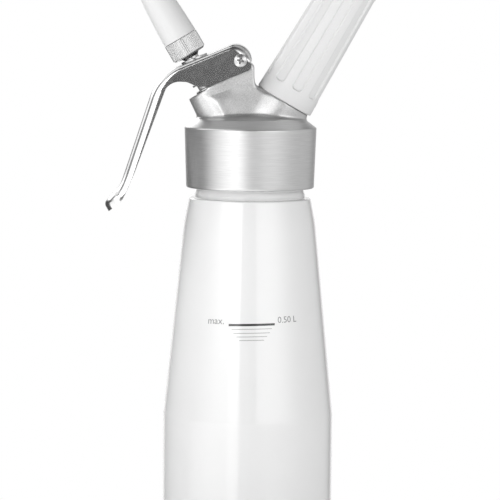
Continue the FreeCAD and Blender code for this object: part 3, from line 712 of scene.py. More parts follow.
def head_field(points):
    """Distance from the head casting's surface, in millimetres."""
    x, y, z = points.T
    soft = 0.8
    dome = revolved(points, UPRIGHT, [
        (0, SKIRT_LOW + soft), (30.8 - soft, SKIRT_LOW + soft),
        (31.75 - soft, SKIRT_TOP - soft * 0.4), (26.0 - soft * 0.5, 209.4 - soft),
        (11.8, 211.1 - soft), (0, 211.4 - soft)]) - soft
    edge = 0.5
    boss, spigot = (
        revolved(points, axis, [
            (0, -depth), (root - edge, -depth), (radius - edge, -edge), (0, -edge)]) - edge
        for axis, radius, root, depth in (
            (VALVE_AXIS, BOSS, boss_root, BOSS_DEPTH),
            (CHARGER_AXIS, SPIGOT, spigot_root, SPIGOT_DEPTH)))
    faces = np.abs(y) - LUG_HALF - (PIVOT_Z - z) * LUG_DRAFT
    plate = -blend_union(-polygon_distance(x, z, lug_outline), -faces, 1.2)
    rise = np.clip((z - FLARE_LOW) / FLARE_RISE, 0, 1)
    flare = FLARE * (1 - rise * rise * (3 - 2 * rise))
    web = -blend_union(-polygon_distance(x, z, web_outline), flare - faces, 1.2)
    hub = along_y(points, PIVOT_X, PIVOT_Z, HUB, 10.9)
    body = blend_union(blend_union(boss, spigot, 3.0), blend_union(plate, web, 0.6), 2.6)
    below_way = np.maximum(polygon_distance(x, z, cheek_way), 0.0)
    body = blend_cut(body, CHEEK_ROOM + 0.4 * below_way - np.abs(y), 0.8)
    body = blend_union(body, dome, 1.9)
    body = blend_union(body, hub, 0.8)
    spud = revolved(points, CHARGER_AXIS, [
        (0, -3), (SPUD, -3), (SPUD, 11.2), (9.6, SPUD_LENGTH), (0, SPUD_LENGTH)])
    body = np.minimum(body, spud)
    cavity = revolved(points, UPRIGHT, [
        (0, 146), (28.4, 146), (28.4, 177.2), (27.7, 178.2), (27.7, 204.2), (22.0, 204.2),
        (20.5, 208.5), (0, 208.5)])
    body = blend_cut(body, cavity, 0.5)
    for axis, radius, low, high in (
            (VALVE_AXIS, 6.0, -9.0, 3.0), (VALVE_AXIS, 5.4, -20.5, -6.6),
            (VALVE_AXIS, 8.8, -34.5, -19.5), (CHARGER_AXIS, 4.9, -0.5, 14.0),
            (CHARGER_AXIS, 4.0, -5.5, 0.5), (CHARGER_AXIS, 1.9, -20.0, -5.0)):
        bore = revolved(points, axis, [(0, low), (radius, low), (radius, high), (0, high)])
        body = np.maximum(body, -bore)
    return np.maximum(body, -along_y(points, PIVOT_X, PIVOT_Z, 2.65, 30))


print("lug outline has", len(lug_outline), "corners")


# %% The surface net
def grid_values(field, low, counts, step):
    """The field on a grid, worked out exactly only near the surface."""
    axes = [low[k] + step * np.arange(counts[k]) for k in range(3)]
    coarse = 4
    rough_axes = [axis[::coarse] for axis in axes]
    rough_points = np.stack(np.meshgrid(*rough_axes, indexing="ij"), -1)
    rough = field(rough_points.reshape(-1, 3)).reshape(rough_points.shape[:3])
    values = rough.repeat(coarse, 0).repeat(coarse, 1).repeat(coarse, 2)
    values = values[:counts[0], :counts[1], :counts[2]].copy()
    near = np.abs(values) < coarse * step * 2.2
    index = np.argwhere(near)
    values[near] = field(np.array(low) + step * index)
    return values


def surface_net(field, low, high, step):
    """Vertices and quads of the surface where the field is zero."""
    counts = (np.ceil((np.array(high) - low) / step) + 1).astype(int)
    values = grid_values(field, low, counts, step)
    inside = values < 0
    cells = np.zeros(counts - 1, int)
    corners = [(i, j, k) for i in (0, 1) for j in (0, 1) for k in (0, 1)]
    windows = {c: tuple(slice(c[d], counts[d] - 1 + c[d]) for d in range(3)) for c in corners}
    for corner in corners:
        cells += inside[windows[corner]]
    active = (cells > 0) & (cells < 8)
    where = np.argwhere(active)
    total = np.zeros((len(where), 3))
    hits = np.zeros(len(where))
    for a in corners:
        for d in range(3):
            if a[d]:
                continue
            b = tuple(a[k] + (k == d) for k in range(3))
            va, vb = values[windows[a]][active], values[windows[b]][active]
            crossed = (va < 0) != (vb < 0)
            share = np.where(crossed, va / np.where(crossed, va - vb, 1), 0)
            point = np.array(a, float) + np.outer(share, np.eye(3)[d])
            total += point * crossed[:, None]
            hits += crossed
    vertices = np.array(low) + step * (where + total / hits[:, None])
    number = np.full(counts - 1, -1)
    number[active] = np.arange(len(where))
    faces = []
    for d in range(3):
        u, v = (d + 1) % 3, (d + 2) % 3
        first = [slice(1, counts[k] - 1) for k in range(3)]
        first[d] = slice(0, counts[d] - 1)
        second = list(first)
        second[d] = slice(1, counts[d])
        edge = inside[tuple(first)] != inside[tuple(second)]
        at = np.argwhere(edge)
        at[:, u] += 1
        at[:, v] += 1
        quad = []
        for du, dv in ((0, 0), (1, 0), (1, 1), (0, 1)):
            cell = at.copy()
            cell[:, u] -= du
            cell[:, v] -= dv
            quad.append(number[cell[:, 0], cell[:, 1], cell[:, 2]])
        quad = np.stack(quad, 1)
        flip = inside[tuple(first)][edge]
        quad[~flip] = quad[~flip][:, ::-1]
        faces.append(quad)
    return vertices, np.concatenate(faces)


def pulled_on(field, vertices, rounds=3, reach=0.02):
    """Moves vertices along the field's slope on to its zero surface."""
    for _ in range(rounds):
        value = field(vertices)
        slope = np.stack([
            (field(vertices + step) - field(vertices - step)) / (2 * reach)
            for step in reach * np.eye(3)], 1)
        steep = np.maximum((slope ** 2).sum(1), 0.25)
        move = slope * (value / steep)[:, None]
        length = np.linalg.norm(move, axis=1)
        vertices = vertices - move * np.minimum(1, 0.3 / np.maximum(length, 1e-9))[:, None]
    return vertices


GRID_STEP = 0.55
net_points, net_faces = surface_net(
    head_field, (-36.5, -33.5, 174.6), (36.5, 33.5, 243.0), GRID_STEP)
net_points = pulled_on(head_field, net_points)
print("head net:", len(net_points), "points", len(net_faces), "faces")

# %% [markdown]
# The threads of the skirt and of the spud are joined to the casting. The skirt's ridges lie half a
# pitch above those of the bottle, so the two threads run in each other's grooves.

# %% The head casting
head = mesh_object("head_casting_body", net_points, net_faces.tolist(), material=blasted_aluminium,
                   crease=60.0)
aluminium_coil = coil_tree(blasted_aluminium)
skirt_thread = coil("skirt_thread", aluminium_coil, 4.0, 28.0, HEAD_PITCH, 1.25,
                    SHOULDER + 10.2 + HEAD_PITCH / 2, UPRIGHT)
spud_thread = coil("spud_thread", aluminium_coil, 4.0, SPUD - 0.05, SPUD_PITCH, 0.65, 2.4,
                   CHARGER_AXIS)
head = settle(joined("head_blasted", head, skirt_thread, spud_thread), "head", "cast_aluminium",
              "head_casting")

# %% [markdown]
# ## The lever
# The lever is pressed from sheet. Its back is a flat web that bends into the handle, and its edges
# are folded down: tightly along the web, and as a full quarter round along the handle. The mesh
# follows the press: rows of points along the back, each row folded over at both sides with its own
# radius, flat cheeks beside the pivot, and then the sheet's thickness.

# %% The lever's outline
LEVER_HALF, LEVER_WALL, WEB_RISE, FLANGE_LOW = 12.6, 1.4, 8.5, 236.95
WEB_LEAN, LEVER_PRESS = 22.6, 9.0
HANDLE_START, HANDLE_BEND = (-45.6, 224.5), (-62.35, 177.0)
HANDLE_TIP, TIP_EDGE = (-70.3, 168.3), (-68.0, 164.5)
web_slope = math.radians(WEB_LEAN)
web_along = np.array((-math.cos(web_slope), -math.sin(web_slope)))
web_up = np.array((-math.sin(web_slope), math.cos(web_slope)))
end_x = PIVOT_X + 5.4
corner_along = (end_x - PIVOT_X - web_up[0] * WEB_RISE) / web_along[0]
end_corner = np.array((PIVOT_X, PIVOT_Z)) + web_along * corner_along + web_up * WEB_RISE
back_corners = [
    (end_x, FLANGE_LOW, 0), (*end_corner, 7.7), (-45.0, 229.95, 24.0), (*HANDLE_BEND, 14.0),
    (*HANDLE_TIP, 1.6), (*TIP_EDGE, 0)]
front_corners = [
    (*TIP_EDGE, 0), (-61.2, 169.9, 7.0), (-55.9, 182.3, 25.0), (-39.6, 227.3, 8.0),
    (-30.5, 226.95, 5.0), (-25.6, 224.75, 4.0), (-20.2, 224.85, 4.0), (end_x - 0.25, 233.2, 2.4),
    (end_x - 0.25, FLANGE_LOW - 1.2, 0.8), (end_x - 1.9, FLANGE_LOW, 0)]
print("web starts at", [round(float(v), 2) for v in end_corner])


def resampled(points, spacing):
    """A polyline with points at most a spacing apart, its corners kept."""
    result = [np.array(points[0], float)]
    for point in points[1:]:
        gap = np.array(point, float) - result[-1]
        pieces = max(1, math.ceil(np.linalg.norm(gap) / spacing))
        start = result[-1]
        result += [start + gap * k / pieces for k in range(1, pieces + 1)]
    return np.array(result)


back_path = resampled(rounded(back_corners, 14, closed=False), 1.6)
front_path = resampled(rounded(front_corners, 14, closed=False), 1.2)
print("back path has", len(back_path), "points, front path has", len(front_path))

# %% [markdown]
# Each row of the back looks inward and finds how deep the folded flank is there. Beside the pivot
# the cheek is a flat plate, so one many-sided face fills it. Along the handle each row carries its
# own strip of flank. At the tip the rows turn round the corners, and an end wall closes the handle.
# The inner skin is the same rule a wall's thickness further in, and a rim joins the two along the
# sheared edge.


# %% The lever's folded skin
def crossing_depth(origin, direction, path):
    """How far along a direction a path is first met."""
    start, end = path[:-1], path[1:]
    run = end - start
    bottom = direction[0] * run[:, 1] - direction[1] * run[:, 0]
    offset = start - origin
    with np.errstate(divide="ignore", invalid="ignore"):
        reach = (offset[:, 0] * run[:, 1] - offset[:, 1] * run[:, 0]) / bottom
        share = (offset[:, 0] * direction[1] - offset[:, 1] * direction[0]) / bottom
    good = (share >= -1e-6) & (share <= 1 + 1e-6) & (reach > 0.2)
    return float(reach[good].min()) if good.any() else None


def eased(value, low, high):
    """0 below low, 1 above high, and a soft step between them."""
    share = min(1.0, max(0.0, (value - low) / (high - low)))
    return share * share * (3 - 2 * share)


def fold_radius(x, z):
    """The fold: tight along the web, wider at the pivot end, a quarter round on the handle."""
    if z < 205:
        return 4.3
    handle = eased(-x - 26.0, 8.0, 24.0)
    pivot_end = eased(x, -12.0, -2.0) * eased(z, FLANGE_LOW, 242.0)
    edge = 0.4 * (1 - eased(z, FLANGE_LOW, 239.0)) if x > -2 else 0.0
    return 2.3 + 2.0 * handle + 2.4 * pivot_end - edge


FOLD_STEPS, ACROSS, TIP_STEPS = 6, 8, 10
TIP_CORNER, TIP_DRAFT = 7.5, 0.3
DISH = 0.5
tangents = np.gradient(back_path, axis=0)
tangents /= np.linalg.norm(tangents, axis=1)[:, None]
inward = np.stack([-tangents[:, 1], tangents[:, 0]], 1)
tip = np.array(HANDLE_TIP)
tip_run = tip - np.array(HANDLE_BEND)
tip_run /= np.linalg.norm(tip_run)
tip_inward = np.array((-tip_run[1], tip_run[0]))
before_tip = (back_path - tip) @ tip_run < -TIP_CORNER - 0.7
main_rows = int(np.argmin(before_tip)) if not before_tip.all() else len(back_path)
handle_start = int(np.argmin(np.linalg.norm(back_path - np.array(HANDLE_START), axis=1)))
print("rows:", main_rows, "handle from row", handle_start)


def lever_side(base, into, plan, radius, depth, wall):
    """Points down one side: the fold, then the flank. plan is (y, slope along, slope across)."""
    y, along, across = plan
    bend = radius - wall
    places = []
    for k in range(FOLD_STEPS + 1):
        angle = math.pi / 2 * k / FOLD_STEPS
        places.append((radius - bend * math.sin(angle), radius - bend * math.cos(angle)))
    if depth > radius:
        places += [(wall, radius + (depth - radius) * k / 2) for k in (1, 2)]
    points = []
    for out, down in places:
        at = base + tip_run * along * (TIP_DRAFT * down - out) + into * down
        points.append((at[0], y - across * out, at[1]))
    return points


def lever_row(base, into, plan, radius, depth, wall, dish):
    """A row from one edge of the lever over its back to the other edge."""
    side = lever_side(base, into, plan, radius, depth, wall)
    flat = plan[0] - plan[2] * radius
    row = side[::-1]
    for k in range(1, ACROSS):
        y = flat - 2 * flat * k / ACROSS
        at = base - tip_run * plan[1] * radius + into * (wall + dish * (1 - (y / flat) ** 2))
        row.append((at[0], y, at[1]))
    return row + [(x, -y, z) for x, y, z in side]


def tip_station(angle):
    """Base, plan, fold and depth at an angle round the tip's corner, from its side to its end."""
    along = TIP_CORNER * (math.sin(angle) - 1)
    y = LEVER_HALF - TIP_CORNER * (1 - math.cos(angle))
    base = tip + tip_run * along
    depth = crossing_depth(base, tip_inward, front_path)
    radius = min(4.0 - 2.0 * math.sin(angle) ** 2, depth)
    return base, (y, math.sin(angle), math.cos(angle)), radius, depth


def between(first, second):
    """Quads between two rows of indices."""
    return [(first[k], first[k + 1], second[k + 1], second[k]) for k in range(len(first) - 1)]


def lever_skin(wall):
    """Vertices and faces of one of the lever's two skins: wall 0 is the outer one."""
    vertices, faces, rows, grid = [], [], [], []

    def added(points):
        points = list(points)
        vertices.extend(points)
        return list(range(len(vertices) - len(points), len(vertices)))

    for i in range(main_rows):
        base, into, on_handle = back_path[i], inward[i], i >= handle_start
        radius = fold_radius(*base)
        depth = crossing_depth(base, into, front_path) if on_handle else radius
        radius = min(radius, depth - 0.05) if on_handle else radius
        dish = DISH * eased(i, handle_start, handle_start + 12)
        dish *= 1 - eased(i, main_rows - 10, main_rows)
        rows.append(added(lever_row(base, into, (LEVER_HALF, 0, 1), radius, depth, wall, dish)))
    for step in range(TIP_STEPS + 1):
        base, plan, radius, depth = tip_station(math.pi / 2 * step / TIP_STEPS)
        rows.append(added(lever_row(base, tip_inward, plan, radius, depth, wall, 0)))
    for first, second in zip(rows, rows[1:]):
        faces += between(first, second if len(first) == len(second) else second[2:-2])
    for k in range(ACROSS + 1):
        y = plan[0] * (1 - 2 * k / ACROSS)
        grid.append(added(lever_side(base, tip_inward, (y, 1, 0), radius, depth, wall)))
    for first, second in zip(grid, grid[1:]):
        faces += between(first, second)
    foot = vertices[rows[handle_start][0]]
    gaps = np.linalg.norm(front_path - np.array((foot[0], foot[2])), axis=1)
    cheek_edge = front_path[int(np.argmin(gaps)) + 1:]
    for y, end in ((LEVER_HALF - wall, 0), (wall - LEVER_HALF, -1)):
        edge = added((x, y, z) for x, z in cheek_edge)
        flank = rows[handle_start][2::-1] if end == 0 else rows[handle_start][-3:]
        faces.append(tuple([row[end] for row in rows[:handle_start]] + flank + edge))
    return vertices, faces


def merged(points, faces):
    """The first index of each place, so that seams share their points."""
    first, same, kept = {}, [], []
    for k, point in enumerate(points):
        same.append(first.setdefault(tuple(round(float(c), 4) for c in point), k))
    for face in faces:
        face = tuple(dict.fromkeys(same[k] for k in face))
        if len(face) > 2:
            kept.append(face)
    return kept


def open_edges(faces):
    """The edges that only one face uses."""
    seen = {}
    for face in faces:
        for a, b in zip(face, face[1:] + face[:1]):
            key = (min(a, b), max(a, b))
            seen[key] = seen.get(key, 0) + 1
    return [key for key, uses in seen.items() if uses == 1]


outer_points, skin_faces = lever_skin(0.0)
inner_points, _ = lever_skin(LEVER_WALL)
skin_faces = merged(outer_points, skin_faces)
shift = len(outer_points)
lever_faces = skin_faces + [tuple(shift + k for k in face[::-1]) for face in skin_faces]
lever_faces += [(a, b, shift + b, shift + a) for a, b in open_edges(skin_faces)]
print("lever skins:", len(outer_points), "points each,", len(lever_faces), "faces")

# %% [markdown]
# The slot for the valve stem and the two holes for the pivot are cut through the sheet, and every
# sheared edge gets a very small round, because a polished edge is never sharp and catches a fine
# line of light.


# %% The lever
def cut_away(piece, *cutters):
    """Cuts helper solids out of a piece and removes them."""
    for tool in cutters:
        change = piece.modifiers.new("cut", "BOOLEAN")
        change.operation = "DIFFERENCE"
        change.solver = "EXACT"
        change.object = tool
    baked(piece)
    for tool in cutters:
        bpy.data.objects.remove(tool)
    return piece


def prism(outline, low, high):
    """A straight solid over a flat outline of (x, y) points."""
    count = len(outline)
    vertices = [(x, y, low) for x, y in outline] + [(x, y, high) for x, y in outline]
    faces = [tuple(range(count)), tuple(range(count, 2 * count))]
    faces += [(k, (k + 1) % count, count + (k + 1) % count, count + k) for k in range(count)]
    return vertices, faces


def slot_outline(half_length, half_width, steps=16):
    """A slot with round ends."""
    flat = half_length - half_width
    points = []
    for k in range(2 * steps):
        angle = math.pi * k / steps - math.pi / 2
        shift = flat if math.cos(angle) > 1e-9 or k == 0 else -flat
        points.append((shift + half_width * math.cos(angle), half_width * math.sin(angle)))
    return points


def changed(piece, kind, **settings):
    """A piece with one modifier put on and baked."""
    change = piece.modifiers.new(kind.lower(), kind)
    for name, value in settings.items():
        setattr(change, name, value)
    return baked(piece)


def bevelled(piece, width, angle):
    """A small round, in millimetres, on every edge that bends by more than an angle."""
    return changed(piece, "BEVEL", width=width * MM, segments=2, limit_method="ANGLE",
                   angle_limit=math.radians(angle))


def flat_shaded(piece):
    """Lets the large faces rule the shading, so that flat sheet stays flat beside its rounds."""
    return changed(piece, "WEIGHTED_NORMAL", mode="FACE_AREA_WITH_ANGLE", weight=100,
                   keep_sharp=True)


SLOT_HALF_LENGTH, SLOT_HALF_WIDTH, PIVOT_HOLE = 4.8, 4.0, 2.6
pivot_local = VALVE_AXIS.inverted() @ Vector((PIVOT_X, 0, PIVOT_Z))
tilts = [math.radians(VALVE_LEAN - WEB_LEAN - pressed) for pressed in (0, LEVER_PRESS)]
slot_along = sum(pivot_local.x / math.cos(t) + WEB_RISE * math.tan(t) for t in tilts) / 2
slot_centre = np.array((PIVOT_X, PIVOT_Z)) + web_along * slot_along + web_up * WEB_RISE
slot_axis = Matrix.Translation((slot_centre[0], 0, slot_centre[1]))
slot_axis = slot_axis @ Matrix.Rotation(-web_slope, 4, "Y")
pivot_axis = Matrix.Translation((PIVOT_X, 0, PIVOT_Z)) @ Matrix.Rotation(math.pi / 2, 4, "X")

lever = mesh_object("lever_pressed", outer_points + inner_points, lever_faces,
                    material=polished_steel, crease=35.0)
slot = prism(slot_outline(SLOT_HALF_LENGTH, SLOT_HALF_WIDTH), -6, 6)
hole = prism(slot_outline(PIVOT_HOLE, PIVOT_HOLE), -16, 16)
cut_away(lever, mesh_object("slot_cut", *slot, slot_axis),
         mesh_object("pivot_cut", *hole, pivot_axis))
bevelled(lever, 0.28, 50)
lever.data.polygons.foreach_set("use_smooth", [True] * len(lever.data.polygons))
settle(flat_shaded(lever), "lever", "polished_metal", "lever")

# %% [markdown]
# ## The pivot screw
# A domed screw holds the lever in front. A cross recess is four tapered slots that meet in the
# middle, so the cutter is a cross whose floor is smaller than its mouth.


# %% The pivot screw
def tapered(outline, low, high, share):
    """A prism whose low end is a smaller copy of its high end."""
    vertices, faces = prism(outline, low, high)
    count = len(outline)
    return [(x * share, y * share, z) for x, y, z in vertices[:count]] + vertices[count:], faces


def cross_outline(a, w):
    """A cross with arms of length a and half width w."""
    return [(a, -w), (a, w), (w, w), (w, a), (-w, a), (-w, w), (-a, w), (-a, -w), (-w, -w),
            (-w, -a), (w, -a), (w, -w)]


screw_profile = rounded([
    (0, -6.6, 0), (1.7, -6.6, 0.4), (1.7, 12.62, 0), (3.15, 12.62, 0.15), (3.15, 13.3, 0.4),
    (2.75, 13.5, 0.3), (1.6, 14.0, 4.0), (0, 14.2, 0)], 6)
screw = mesh_object("screw_domed", *turned(screw_profile, 64), pivot_axis, turned_steel)
recess_axis = pivot_axis @ Matrix.Rotation(math.radians(-12), 4, "Z")
recess = tapered(cross_outline(2.1, 0.5), 12.8, 14.4, 0.4)
cut_away(screw, mesh_object("recess", *recess, recess_axis))
settle(bevelled(screw, 0.06, 40), "lever", "turned_steel", "pivot_screw")

# %% [markdown]
# ## The knurled collar
# The tip's collar is rolled between dies that leave straight ridges. It is a plain turned sleeve
# with one rounded ridge repeated round it, which is what instances on a circle are for.


# %% The knurled collar
def ridge_tree(material):
    tree, given = tree_with_inputs("ridges", ["Count", "Radius", "Low", "High", "Width"])
    foot = tree.node("ShaderNodeCombineXYZ", {}, {"Z": given["Low"]})
    head_end = tree.node("ShaderNodeCombineXYZ", {}, {"Z": given["High"]})
    line = tree.node("GeometryNodeCurvePrimitiveLine", {}, {"Start": foot, "End": head_end})
    line = tree.node("GeometryNodeResampleCurve", {}, {"Curve": line, "Count": 9})
    along = tree.node("GeometryNodeSplineParameter")
    rise = tree.smooth(along.math("MINIMUM", 1.0 - along), -0.03, 0.12)
    line = tree.node("GeometryNodeSetCurveRadius", {}, {"Curve": line, "Radius": rise})
    section = tree.node("GeometryNodeCurvePrimitiveCircle", {}, {
        "Resolution": 8, "Radius": given["Width"]})
    ridge = tree.node("GeometryNodeCurveToMesh", {}, {
        "Curve": line, "Profile Curve": section, "Fill Caps": True})
    circle = tree.node("GeometryNodeMeshCircle", {}, {
        "Vertices": given["Count"], "Radius": given["Radius"]})
    ridges = tree.node("GeometryNodeInstanceOnPoints", {}, {"Points": circle, "Instance": ridge})
    return end_tree(tree, ridges, material)


COLLAR_LOW, TIP_BASE, TIP_END = 17.84, 27.34, 73.76
COLLAR, RIDGES = 8.3, 58
collar_profile = rounded([
    (6.0, COLLAR_LOW, 0.2), (COLLAR, COLLAR_LOW, 1.3), (COLLAR, TIP_BASE - 0.1, 0.5),
    (7.25, TIP_BASE, 0.1), (7.25, COLLAR_LOW + 1.2, 0.3), (6.0, COLLAR_LOW + 1.2, 0.2)], 6)
collar = mesh_object("collar_core", *turned(collar_profile, 2 * RIDGES), VALVE_AXIS,
                     knurled_aluminium)
ridges = mesh_object("collar_ridges", [(0, 0, 0)], [])
run_tree(ridges, ridge_tree(knurled_aluminium), {
    "Count": RIDGES, "Radius": 8.13 * MM, "Low": (COLLAR_LOW + 0.95) * MM,
    "High": (TIP_BASE - 0.25) * MM, "Width": 0.42 * MM})
set_on(ridges, VALVE_AXIS, 50.0)
settle(joined("collar_knurled", collar, ridges), "decorator_tip", "knurled_metal", "tip_collar")

# %% [markdown]
# ## The decorator tip
# The nozzle is a slender convex cone with a hollow core. Its mouth is cut by eight wedge slots, so
# the cream leaves it as a star. The rims left between the slots are the points of the crown.

# %% The decorator tip
STAR_POINTS, SLOT_LOW = 8, 67.4
tip_outside = [
    (8.5, TIP_BASE + 0.02), (8.28, 33.0), (7.95, 40.0), (7.4, 48.7), (6.55, 57.5), (5.55, 66.0),
    (4.5, TIP_END)]
tip_inside = [
    (3.2, TIP_END), (4.25, 66.0), (5.25, 57.5), (6.1, 48.7), (6.5, 38.0), (5.9, TIP_BASE)]


def smooth_side(points, count):
    """A quadratic through the points' heights, so that the cone has no corners."""
    radii, heights = np.array(points).T
    curve = np.polyfit(heights, radii, 2)
    levels = np.linspace(heights[0], heights[-1], count)
    return [(float(np.polyval(curve, level)), float(level)) for level in levels]


tip_profile = smooth_side(tip_outside, 40) + smooth_side(tip_inside, 30) + [
    (4.3, TIP_BASE - 1.5), (4.3, 19.7), (6.0, 19.7), (6.0, 19.06), (7.23, 19.06), (7.23, TIP_BASE)]
nozzle = mesh_object("tip_star", *turned(tip_profile, 128), VALVE_AXIS, white_plastic)
wedge_points, wedge_faces = prism(
    [(-0.04, SLOT_LOW), (0.04, SLOT_LOW), (1.45, 75.0), (-1.45, 75.0)], 0, 9.0)
wedge_points = [(out, side, up) for side, up, out in wedge_points]
slots = []
for i in range(STAR_POINTS):
    spin = Matrix.Rotation(math.radians(360 / STAR_POINTS * i + 12), 4, "Z")
    slots.append(mesh_object("star_cut", wedge_points, wedge_faces, VALVE_AXIS @ spin))
bevelled(cut_away(nozzle, *slots), 0.16, 35)
tidy_mesh(nozzle.data, 40.0)
settle(flat_shaded(nozzle), "decorator_tip", "white_plastic", "tip_cone")

# %% [markdown]
# ## The charger holder
# The holder is a plastic cup whose grip has nine shallow flutes, each a panel with rounded corners
# sunk into the taper. The flutes follow one rule, so a geometry tree sinks the points of a plain
# turned cup: it works out how far each point lies from the nearest panel's rounded rectangle.


# %% The flute tree
def flute_tree(material):
    tree, given = tree_with_inputs("flutes", [
        "Count", "First", "Half Angle", "Depth", "Low", "High", "Corner", "Soft", "Bore"])
    place = tree.node("GeometryNodeInputPosition")
    apart = tree.node("ShaderNodeSeparateXYZ", {}, {0: place})
    x, y, z = apart, apart.part("Y"), apart.part("Z")
    radius = (x * x + y * y).math("SQRT")
    pitch = tree.math("DIVIDE", 2 * math.pi, given["Count"])
    turns = (y.math("ARCTAN2", x) - given["First"]) / pitch + 0.5
    centred = turns.math("FRACT") - 0.5
    across = (centred * pitch).math("ABSOLUTE") - given["Half Angle"]
    across = across * radius + given["Corner"]
    middle = (given["Low"] + given["High"]) / 2
    up = (z - middle).math("ABSOLUTE") - (given["High"] - given["Low"]) / 2 + given["Corner"]
    out_across, out_up = across.math("MAXIMUM", 0.0), up.math("MAXIMUM", 0.0)
    outside = (out_across * out_across + out_up * out_up).math("SQRT")
    distance = outside + across.math("MAXIMUM", up).math("MINIMUM", 0.0) - given["Corner"]
    inside = 1.0 - tree.smooth(distance, 0.0 - given["Soft"], given["Soft"])
    sink = inside * given["Depth"] * tree.smooth(radius, given["Bore"], given["Bore"] + 0.0002)
    share = (0.0 - sink) / radius
    move = tree.node("ShaderNodeCombineXYZ", {}, {"X": x * share, "Y": y * share, "Z": 0.0})
    moved = tree.node("GeometryNodeSetPosition", {}, {
        "Geometry": given["Geometry"], "Offset": move})
    return end_tree(tree, moved, material)


print("flute tree is ready")

# %% The charger holder
HOLDER, HOLDER_DRAFT = 14.6, math.tan(math.radians(1.35))
HOLDER_FOOT, HOLDER_BEND, HOLDER_END = 2.0, 67.0, 72.48
HOLDER_BORE, HOLDER_MOUTH = 9.3, 11.1


def holder_radius(level):
    return HOLDER - level * HOLDER_DRAFT


def spaced(low, high, step):
    return list(np.linspace(low, high, max(2, math.ceil((high - low) / step) + 1)))


holder_levels = (
    spaced(HOLDER_FOOT, 6.4, 1.5) + spaced(6.9, 10.6, 0.18) + spaced(11.6, 59.6, 2.4)
    + spaced(60.8, 64.6, 0.18) + [65.6, HOLDER_BEND])
holder_side = [(holder_radius(z), z) for z in holder_levels]
mouth = rounded([
    (HOLDER_MOUTH, HOLDER_FOOT, 0), (HOLDER_MOUTH, 0.15, 0.35), (HOLDER, 0.15, 0.7),
    (holder_radius(HOLDER_FOOT), HOLDER_FOOT, 0)], 5)[1:-1]
end_cap = rounded([
    (holder_radius(HOLDER_BEND), HOLDER_BEND, 0), (holder_radius(72.5), HOLDER_END, 4.0),
    (0, HOLDER_END, 0)], 9, closed=False)[1:]
hollow = [
    (0, 67.3), (4.5, 66.9), (8.0, 64.2), (HOLDER_BORE, 60.0), (HOLDER_BORE, 16.5),
    (HOLDER_MOUTH, 13.5)]
around = 450
holder = mesh_object("holder_cup", *turned(mouth + holder_side + end_cap + hollow, around))
run_tree(holder, flute_tree(white_plastic), {
    "Count": 9, "First": math.radians(-82), "Half Angle": math.radians(10.0), "Depth": 0.9 * MM,
    "Low": 7.8 * MM, "High": 63.5 * MM, "Corner": 1.6 * MM, "Soft": 0.3 * MM, "Bore": 11.6 * MM})
set_on(holder, CHARGER_AXIS, 60.0)
holder_thread = coil("holder_thread", coil_tree(white_plastic), 4.0, 11.2, SPUD_PITCH, 0.6, 3.4,
                     CHARGER_AXIS)
settle(joined("holder_fluted", holder, holder_thread), "holder", "white_plastic", "charger_holder")

# %% [markdown]
# ## The guide nut
# A nut in the mouth of the valve boss guides the stem. Only its thin flange shows under the lever,
# with four notches for the spanner that drives it home, and a hub that carries the spring's washer.

# %% The guide nut
NUT_BORE, NUT_BODY, NUT_FLANGE, NUT_HUB = 3.55, 6.0, 6.7, 4.85
nut_profile = rounded([
    (NUT_BORE, -8.5, 0.2), (NUT_BODY, -8.5, 0.5), (NUT_BODY, 0, 0.1), (NUT_FLANGE, 0, 0.15),
    (NUT_FLANGE, 0.75, 0.2), (NUT_HUB, 0.75, 0.3), (NUT_HUB, 3.5, 0.15),
    (NUT_BORE, 3.5, 0.15)], 5)
guide_nut = mesh_object("nut_flanged", *turned(nut_profile, 72), VALVE_AXIS, turned_steel)
notch = prism([(5.4, -1.0), (7.2, -1.0), (7.2, 1.0), (5.4, 1.0)], -0.4, 1.2)
notches = []
for degrees in (45, 135, 225, 315):
    spin = VALVE_AXIS @ Matrix.Rotation(math.radians(degrees), 4, "Z")
    notches.append(mesh_object("notch_cut", *notch, spin))
cut_away(guide_nut, *notches)
tidy_mesh(guide_nut.data, 40.0)
settle(guide_nut, "head", "turned_steel", "valve_guide_nut")

# %% [markdown]
# ## The return spring
# The spring sits round the stem under the lever. It shortens as the stem goes in: from rest to
# fully pressed it keeps a little under half of its length.

# %% The return spring
SPRING_TURNS, SPRING_RISE, SPRING_WIRE, SPRING_LOW = 2.6, 5.39, 0.4, 4.3
spring = coil("spring_wire", coil_tree(turned_steel, 12), SPRING_TURNS, 5.0,
              SPRING_RISE / SPRING_TURNS, SPRING_WIRE, SPRING_LOW + SPRING_WIRE, VALVE_AXIS, 0.002)
settle(spring, "head", "spring_steel", "return_spring")
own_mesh(spring)

# %% [markdown]
# ## Finishes of the kept pieces
# The small turned and rubber pieces already have their right shapes in the frame, so they only
# need their real finishes.

# %% Finishes of the kept pieces
kept_finishes = {
    turned_steel: ["spring_seat_washer", "piercing_pin", "check_valve_stud", "valve_stem",
                   "valve_piston", "tip_adapter", "lever_washer", "pivot_sleeve"],
    black_rubber: ["stem_o_ring", "pin_seal", "check_valve_sleeve", "piston_seal", "tip_seal"],
    plated_steel: ["charger", "charger_cap"],
    silicone: ["head_gasket"],
}
for finish, names in kept_finishes.items():
    for name in names:
        for place in nodes[name].material_slots:
            place.material = finish
print("finished", sum(len(names) for names in kept_finishes.values()), "kept pieces")

# %% [markdown]
# ## The floor and the studio
# The dispenser stands on a pale floor that keeps its soft shadow and fades to white. The studio is
# painted on the world as soft-edged panels, in degrees round the object: a softbox at the left with
# a hot middle, a reflector at the right, pale tables below, a window far at the left and a white
# backdrop behind. The gaps between them give the metal its dark bands. The camera itself sees plain
# white.

